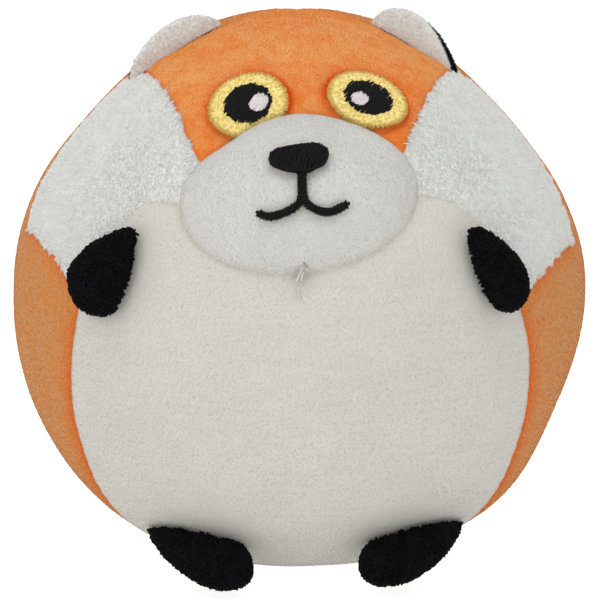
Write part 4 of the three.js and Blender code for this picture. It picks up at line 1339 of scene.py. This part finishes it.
# Lays a strand of thread on each point, along "aim", its back to "rise", as long as "reach".
def stitchTree():
    net, given = newTree("laidStitches", "Thread Width", "Arch")
    arch = net.add("CurveQuadraticBezier", {
        "Resolution": 7, "Start": (-0.5, 0, -0.1), "Middle": (0, 0, 0.5), "End": (0.5, 0, -0.1)})
    doubled = net.math("MULTIPLY", net.add("SplineParameter", take="Factor"), 2.0)
    centred = net.math("ABSOLUTE", net.math("SUBTRACT", doubled, 1.0))
    full = net.math("SUBTRACT", 1.0, net.math("POWER", centred, 6.0))
    full = net.math("ADD", net.math("MULTIPLY", full, 0.6), 0.4)
    # The profile keeps its size along the strand, which is only stretched lengthwise.
    strand = net.tube(arch, full, 6, 0.5)
    turn = net.add("AxesToRotation", {0: net.named("aim"), 1: net.named("rise")},
                   primary_axis="X", secondary_axis="Z")
    wide = net.math("MULTIPLY", given["Thread Width"], net.randomNumber(0.85, 1.15, given["Seed"]))
    scale = (net.named("reach", "FLOAT"), wide, net.math("MULTIPLY", wide, given["Arch"]))
    points = net.add("MeshToPoints", {"Mesh": given["Geometry"]})
    smooth = net.add("SetShadeSmooth", {"Geometry": net.lay(points, strand, turn, scale)})
    return net.finish(smooth, given["Material"])


laidStitches = stitchTree()


# Adds the faces of a padding to the stitches that lie on it.
def addPad(piece, pad, material):
    form = bmesh.new()
    form.from_mesh(piece.data)
    form.from_mesh(pad)
    for face in form.faces:
        face.smooth = True
        face.material_index = 0
    form.to_mesh(piece.data)
    form.free()
    bpy.data.meshes.remove(pad)
    piece.data.materials.clear()
    piece.data.materials.append(material)
    dropMarks(piece.data, "aim", "rise", "reach", "tip", "crease")


# Strands between pairs of flat points, laid at a height, over their padding. The place turns flat points and
# heights into points above the cloth.
def embroider(name, place, stitches, height, finish, width, seed, arch=1.0, pads=()):
    starts, ends = (np.asarray(points, float) for points in stitches)
    s, t = ((starts + ends) / 2).T
    rises = place(s, t, np.ones(len(s))) - place(s, t, np.zeros(len(s)))
    heights = np.broadcast_to(np.asarray(height, float), len(s))
    starts, ends = (place(*points.T, heights) for points in (starts, ends))
    mesh = bpy.data.meshes.new(name)
    mesh.from_pydata(((starts + ends) / 2 * mm).tolist(), [], [])
    lengths = np.linalg.norm(ends - starts, axis=1)
    store(mesh, "aim", "FLOAT_VECTOR", (ends - starts) / lengths[:, None])
    store(mesh, "rise", "FLOAT_VECTOR", rises)
    store(mesh, "reach", "FLOAT", lengths * mm)
    material = finishes[finish]
    piece = runTree(addPiece(name, mesh, material), laidStitches, {
        "Thread Width": width * mm, "Arch": arch, "Seed": seed, "Material": material})
    for pad in pads:
        addPad(piece, pad, material)
    return piece


# A padding under stitches, from low to high over flat points in rows
def padOver(place, flat, high, low=0.0, goesRound=True):
    s, t = flat[..., 0], flat[..., 1]
    top, under = (place(s, t, np.broadcast_to(height, s.shape)) for height in (high, low))
    return wallMesh("pad", top, under, goesRound)


# An outline in rings, from its middle or from a share of its reach to its rim
def ringsOf(outline, middle=(0, 0), firstShare=0.0):
    middle = np.asarray(middle, float)
    return middle + (outline[None] - middle) * np.linspace(firstShare, 1, 7)[:, None, None]


def circleOf(radius, sides, middle=(0, 0)):
    turn = fullTurn(sides)
    return np.stack([middle[0] + radius * np.cos(turn), middle[1] + radius * np.sin(turn)], axis=1)


# How stitches fill a shape: the spacing of their rows, the length of a stitch, the angle of the rows, and how
# ragged their ends are and how far they stray
fills = {"pupil": (0.31, 0.8, 62, 0.12, 0.14), "glint": (0.2, 1.2, 75, 0.06, 0.06),
         "nose": (0.34, 0.75, 78, 0, 0.16)}
# How finely a row is searched, its shortest stitch, how uneven stitches are, the share of a stitch that the
# one before it takes in, and how far two stitches overlap
filling = {"stepsPerMm": 16, "shortest": 0.3, "uneven": (0.7, 1.3), "takenIn": 0.4, "overlap": 0.1}


# Short stitches in rows along one way that fill a shape given by a test.
def fillRows(inside, reach, fill, rng):
    spacing, stitch, angle, ragged, stray = fills[fill]
    turn = math.radians(angle)
    along = np.array([math.cos(turn), math.sin(turn)])
    across = np.array([-along[1], along[0]])
    starts, ends = [], []
    row = -reach
    while row < reach:
        steps = np.linspace(-reach, reach, int(reach * filling["stepsPerMm"]))
        kept = [u for u in steps if inside(*(along * u + across * row))]
        if kept:
            low, high = kept[0] - rng.uniform(0, ragged), kept[-1] + rng.uniform(0, ragged)
            at = low
            while at < high - filling["shortest"]:
                end = min(high, at + stitch * rng.uniform(*filling["uneven"]))
                if high - end < stitch * filling["takenIn"]:
                    end = high
                starts.append(along * at + across * (row + rng.uniform(-stray, stray)))
                ends.append(along * end + across * (row + rng.uniform(-stray, stray)))
                at = end - filling["overlap"]
        row += spacing
    return starts, ends


# Where the muzzle's seam swallows the ring's threads, as shares of the muzzle's reach, and how deep
swallow = {"from": 1.015, "over": 0.04, "depth": 1.2, "stitchesTo": 1.005}


# Draws what reaches the muzzle's seam down into it.
def tuckIntoSeam(mesh):
    away, ways = offBall(vertexPlaces(mesh))
    share = np.clip((swallow["from"] - muzzleShare(ways)) / swallow["over"], 0, 1)
    points = onBall(ways, away * (1 - share) + (drawnReach(ways) - swallow["depth"]) * share)
    mesh.vertices.foreach_set("co", (points * mm).ravel())
    mesh.update()


def onDrawn(place, s, t, height):
    ways = onSpot(place, s, t)
    return onBall(ways, drawnReach(ways) + height)


def makeEye(name, eye, seed, count=230):
    rng = random.Random(seed)
    place = eyeSpot(eye)
    wide, tall = eye["stretch"]
    ringRadius, pupilRadius, glintRadius = eye["ringRadius"], eye["pupilRadius"], eye["glintRadius"]
    lift, top = thread["lift"], thread["top"]
    tilt = math.radians(eye["tilt"])
    across, up = eye["glint"]
    glintMiddle = ((across * math.cos(tilt) + up * math.sin(tilt)) / wide,
                   (up * math.cos(tilt) - across * math.sin(tilt)) / tall)

    def at(s, t, height):
        return onDrawn(place, s * wide, t * tall, height)

    def clearOfMuzzle(s, t):
        way = onSpot(place, np.array([s * wide]), np.array([t * tall]))
        return muzzleShare(way)[0] > swallow["stitchesTo"]

    # The gold ring: radial strands in two overlapping rows, which run into the seam of the muzzle
    starts, ends = [], []
    outermost = ringRadius - 0.2
    half = (outermost - pupilRadius) / 2
    for row in range(2):
        for k in range(count):
            turn = 2 * math.pi * (k + row / 2) / count + rng.uniform(-0.008, 0.008)
            way = np.array([math.cos(turn), math.sin(turn)])
            inner = pupilRadius + half * row - 0.3 + rng.uniform(-0.3, 0.25)
            outer = min(outermost, pupilRadius + half * (row + 1) + rng.uniform(-0.3, 0.5))
            if row == 1:
                outer = outermost + rng.uniform(-0.06, 0.02)
            skew = np.array([-way[1], way[0]]) * rng.uniform(-0.12, 0.12)
            if clearOfMuzzle(*(way * inner)):
                starts.append(way * inner)
                ends.append(way * outer + skew)
    pad = padOver(at, ringsOf(circleOf(ringRadius - 0.25, 96), firstShare=(pupilRadius - 0.4) / ringRadius),
                  top, lift)
    ring = embroider("eye_ring_" + name + "_stitches", at, (starts, ends), top, "gold", thread["width"], seed,
                     pads=[pad])
    tuckIntoSeam(ring.data)
    # Painted shade on the ring's outer edge, where it rolls down into the groove
    far = beyondRing(offBall(vertexPlaces(ring.data))[1], eye)
    store(ring.data, "rim", "FLOAT", 0.8 * np.clip((far + 0.65) / 0.5, 0, 1))

    # The black pupil with a ragged edge, left open under the white glint
    def inPupil(s, t):
        rough = 0.1 * math.sin(9 * math.atan2(t, s)) + 0.08 * math.sin(23 * math.atan2(t, s))
        fromGlint = math.hypot(s - glintMiddle[0], t - glintMiddle[1])
        return math.hypot(s, t) < pupilRadius - 0.1 + rough and fromGlint > glintRadius - 0.3

    lines = fillRows(inPupil, pupilRadius + 0.5, "pupil", rng)
    pad = padOver(at, ringsOf(circleOf(pupilRadius - 0.15, 72)), top + thread["pupilPad"], lift)
    pupil = embroider("eye_pupil_" + name + "_stitches", at, lines, top + thread["pupilOver"], "blackThread",
                      thread["blackWidth"], seed + 1, pads=[pad])

    # The white glint
    def inGlint(s, t):
        return math.hypot(s - glintMiddle[0], t - glintMiddle[1]) < glintRadius - 0.05

    lines = fillRows(inGlint, pupilRadius + 0.5, "glint", rng)
    glintRings = ringsOf(circleOf(glintRadius - 0.1, 36, glintMiddle), glintMiddle)
    pad = padOver(at, glintRings, top + thread["glintPad"], top)
    glint = embroider("eye_glint_" + name + "_stitches", at, lines, top + thread["glintOver"], "whiteThread",
                      thread["glintWidth"], seed + 2, pads=[pad])
    for piece, part, slot in ((ring, "ring", "gold_thread"), (pupil, "pupil", "black_thread"),
                              (glint, "glint", "white_thread")):
        declare(piece, ["eye_" + part + "_" + name])


for name, seed in (("left", 101), ("right", 111)):
    makeEye(name, eyes[name], seed)


def onMuzzleFace(s, t, height):
    ways = onSpot(faceSpot, s, t)
    return onBall(ways, tuckedReach(ways) + muzzleRise(ways) + height)


def makeNose():
    rng = random.Random(121)
    middle = np.array(mouth["noseMiddle"])

    def inNose(s, t):
        # Counts how often a line to the right crosses the outline.
        a, b = noseLine, np.roll(noseLine, -1, axis=0)
        crosses = (a[:, 1] > t) != (b[:, 1] > t)
        drop = b[:, 1] - a[:, 1]
        at = a[:, 0] + (t - a[:, 1]) / np.where(drop == 0, 1e-9, drop) * (b[:, 0] - a[:, 0])
        return bool(np.count_nonzero(crosses & (s < at)) % 2)

    starts, ends = fillRows(inNose, 6.5, "nose", rng)
    # A round of stitches along its outline
    inset = middle + (noseLine - middle) * 0.97
    starts += list(inset[::2])
    ends += list(np.roll(inset, -3, axis=0)[::2])
    fromMiddle = np.linalg.norm((np.array(starts) + np.array(ends)) / 2 - middle, axis=1)
    top, dome = thread["top"], thread["noseDome"]
    heights = top + thread["noseOver"] + dome * np.maximum(0, 1 - fromMiddle / mouth["noseReach"]) ** 0.5
    flat = ringsOf(noseLine, middle)
    crown = top + dome * np.sqrt(1 - np.linspace(0, 1, len(flat)) ** 2)[:, None]
    nose = embroider("nose_stitches", onMuzzleFace, (starts, ends), heights, "blackThread",
                     thread["noseWidth"], 121, 1.3, [padOver(onMuzzleFace, flat, crown)])
    declare(nose, ["nose"])


# The ways along and across a flat line at its points
def waysOf(line):
    along = unit(np.gradient(line, axis=0))
    return along, np.stack([-along[:, 1], along[:, 0]], axis=1)


# Stitches side by side across a line, their ends uneven.
def stitchAcross(line, width, spacing, rng):
    steps = evenSteps(line, int(lengthsAlong(line)[-1] / spacing))
    along, side = waysOf(steps)
    long = np.array([width / 2 * (1.04 if k % 2 else 0.96) + rng.uniform(-0.03, 0.03)
                     for k in range(len(steps))])
    # Its ends are round.
    fromEnd = np.minimum(np.arange(len(steps)), np.arange(len(steps))[::-1]) * spacing
    long *= np.sqrt(np.clip(1 - (1 - np.minimum(fromEnd / (width / 2), 1)) ** 2, 0.15, 1))
    reach = side * long[:, None] + along * 0.08
    return steps - reach, steps + reach


# A flat padding along a line
def padAlong(line, width):
    side = waysOf(line)[1] * width / 2
    top = thread["top"]
    flat = np.stack([line - side, line, line + side], axis=1)
    return padOver(onMuzzleFace, flat, np.array([top - 0.3, top, top - 0.3]), goesRound=False)


def makeMouth():
    rng = random.Random(131)
    lines = [(line, mouth["width"]) for line in lipLines] + [(philtrumLine, mouth["philtrumWidth"])]
    rows = [stitchAcross(line, width, thread["lipSpacing"], rng) for line, width in lines]
    stitches = [np.vstack(points) for points in zip(*rows)]
    pads = [padAlong(line[2:-2], width * 0.7) for line, width in lines]
    height = thread["top"] + thread["lipOver"]
    lips = embroider("mouth_stitches", onMuzzleFace, stitches, height, "blackThread",
                     thread["lipWidth"], 131, 1.2, pads)
    declare(lips, ["mouth"])


makeNose()
makeMouth()
print("the face is embroidered")

# The pulled stitches below the chin, and the dark tack in its dimple: where they start and where they end
chin = {
    "elevation": 9.5,
    "pulled": ([(-0.5, -0.2), (0, 0.9), (0.25, -0.1), (-0.35, -1.6)],
               [(-0.1, 0.8), (0.3, 1.9), (0.4, 0.9), (-0.1, -3.0)]),
    "pulledWidth": 0.34,
    "tack": ([(0.5, 2.9), (0.9, 2.2)], [(0.9, 2.4), (1.3, 2.0)]),
    "tackWidth": 0.22,
}


def chinThreads():
    def at(s, t, height):
        return onDrawn(spot(0, chin["elevation"]), s, t, height)

    pulled = embroider("chin_stitches", at, chin["pulled"], 0.3, "belly", chin["pulledWidth"], 141, 1.4)
    declare(pulled, [])
    tack = embroider("chin_tack", at, chin["tack"], 0.5, "brownThread", chin["tackWidth"], 142)
    declare(tack, [])


chinThreads()

# The inside

inside = {
    "radius": 36, "wall": 1.5, "neckRadius": 4, "neckBore": 2.6, "neckLength": 5.5, "clearance": 0.3,
    "flangeRadius": 4.8, "flangeThickness": 1.6, "plugDepth": 4.5, "waddingGap": 3.5, "neckHole": 6,
    "lump": 0.5, "lumpSize": 7, "muzzleSeat": 0.9, "muzzleDepth": 2.2, "fill": 0.8,
}


def turnedMesh(name, profile, sides=48):
    radii, heights = np.array(profile, float).T
    return roundMesh(name, centre + spun(radii, heights, sides))


# Radii and heights of an arc between two angles from the neck's axis
def arcOf(radius, start, end, steps=40):
    turns = np.linspace(start, end, steps + 1)
    return list(zip(radius * np.sin(turns), radius * np.cos(turns)))


def waddingReach(ways):
    return tuckedReach(ways) - inside["waddingGap"]


# A smooth finish with soft clouds between two colours
def cloudy(name, size, dark, light, bump=None, **settings):
    material, net, shader = newMaterial(name, **settings)
    clouds = net.noise(size)
    net.link(net.mix(clouds, dark, light), shader["Base Color"])
    if bump:
        net.bump(shader, clouds, bump, 0.1)
    return material


def makeInside():
    fibre = plush("fibreWadding", (244, 244, 240), (226, 226, 220), (220, 220, 214), grain=1.2, contrast=0.4,
                  bump=0.8)
    elastic = cloudy("elasticSkin", 8.0, (226, 220, 204), (240, 236, 226), Roughness=0.35)
    gel = cloudy("clearJelly", 6.0, (140, 200, 226), (178, 222, 238), Roughness=0.08, Transmission_Weight=0.7,
                 IOR=1.35)
    stopper = cloudy("plugPlastic", 0.6, (236, 236, 234), (246, 246, 244), 0.15, Roughness=0.4)
    radius, clearance = inside["radius"], inside["clearance"]

    def addWadding(name, top, under):
        piece = addPiece(name + "_lumpy", wallMesh(name, top, under, goesRound=True), fibre)
        declare(piece, [name])

    # Two bowls of wadding about the front and the back, lumpy on their outer side
    for name, hand, first in (("wadding_front", -1, 0.0), ("wadding_back", 1, inside["neckHole"] / radius)):
        polar = np.linspace(first, np.pi / 2 * (1 - clearance / radius), 30)[:, None]
        turn = fullTurn(72)[None]
        ways = np.stack(np.broadcast_arrays(
            np.sin(polar) * np.cos(turn), np.cos(polar) * hand, np.sin(polar) * np.sin(turn)), -1)
        lumps = inside["lump"] * (noiseAt(ways * radius, inside["lumpSize"], 3.0) - 1)
        addWadding(name, onBall(ways, waddingReach(ways) + lumps),
                   onBall(ways, np.full(ways.shape[:2], radius + clearance)))
    ways = muzzleRings(16, 0.8)
    low, deep = inside["muzzleSeat"], inside["muzzleDepth"]
    addWadding("muzzle_wadding", onBall(ways, tuckedReach(ways) - low + muzzleRise(ways) - deep),
               onBall(ways, waddingReach(ways) + clearance))

    # The elastic bladder, the jelly in it and the plug in its neck, turned about +Y
    neck, bore, inner = inside["neckRadius"], inside["neckBore"], radius - inside["wall"]
    end = radius + inside["neckLength"]
    skinLine = (arcOf(radius, np.pi, math.asin(neck / radius)) + [(neck, end), (bore, end)]
                + arcOf(inner, math.asin(bore / inner), np.pi))
    declare(addPiece("bladder_smooth", turnedMesh("bladder", skinLine), elastic), ["bladder"])
    gelRadius, gelBore = inner - clearance, bore - clearance
    stop = end - inside["plugDepth"] - clearance
    gelLine = arcOf(gelRadius, np.pi, math.asin(gelBore / gelRadius)) + [(gelBore, stop), (0, stop)]
    declare(addPiece("jelly_smooth", turnedMesh("jelly", gelLine), gel), ["jelly"])
    shaft, seat, flange = bore - clearance, end + clearance, inside["flangeRadius"]
    thick, foot = inside["flangeThickness"], seat - inside["plugDepth"]
    plugLine = [
        (0, foot), (shaft * 0.7, foot), (shaft * 0.9, foot + 0.3), (shaft, foot + 1), (shaft, seat),
        (flange - 0.2, seat), (flange, seat + 0.2), (flange, seat + thick / 2),
        (flange * 0.9, seat + thick * 0.85), (flange * 0.7, seat + thick), (0, seat + thick)]
    plug = addPiece("bladder_plug_turned", turnedMesh("bladder_plug", plugLine, 40), stopper)
    declare(plug, ["bladder_plug"], lambda piece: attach(piece, "root"))


makeInside()
print("the inside is filled")
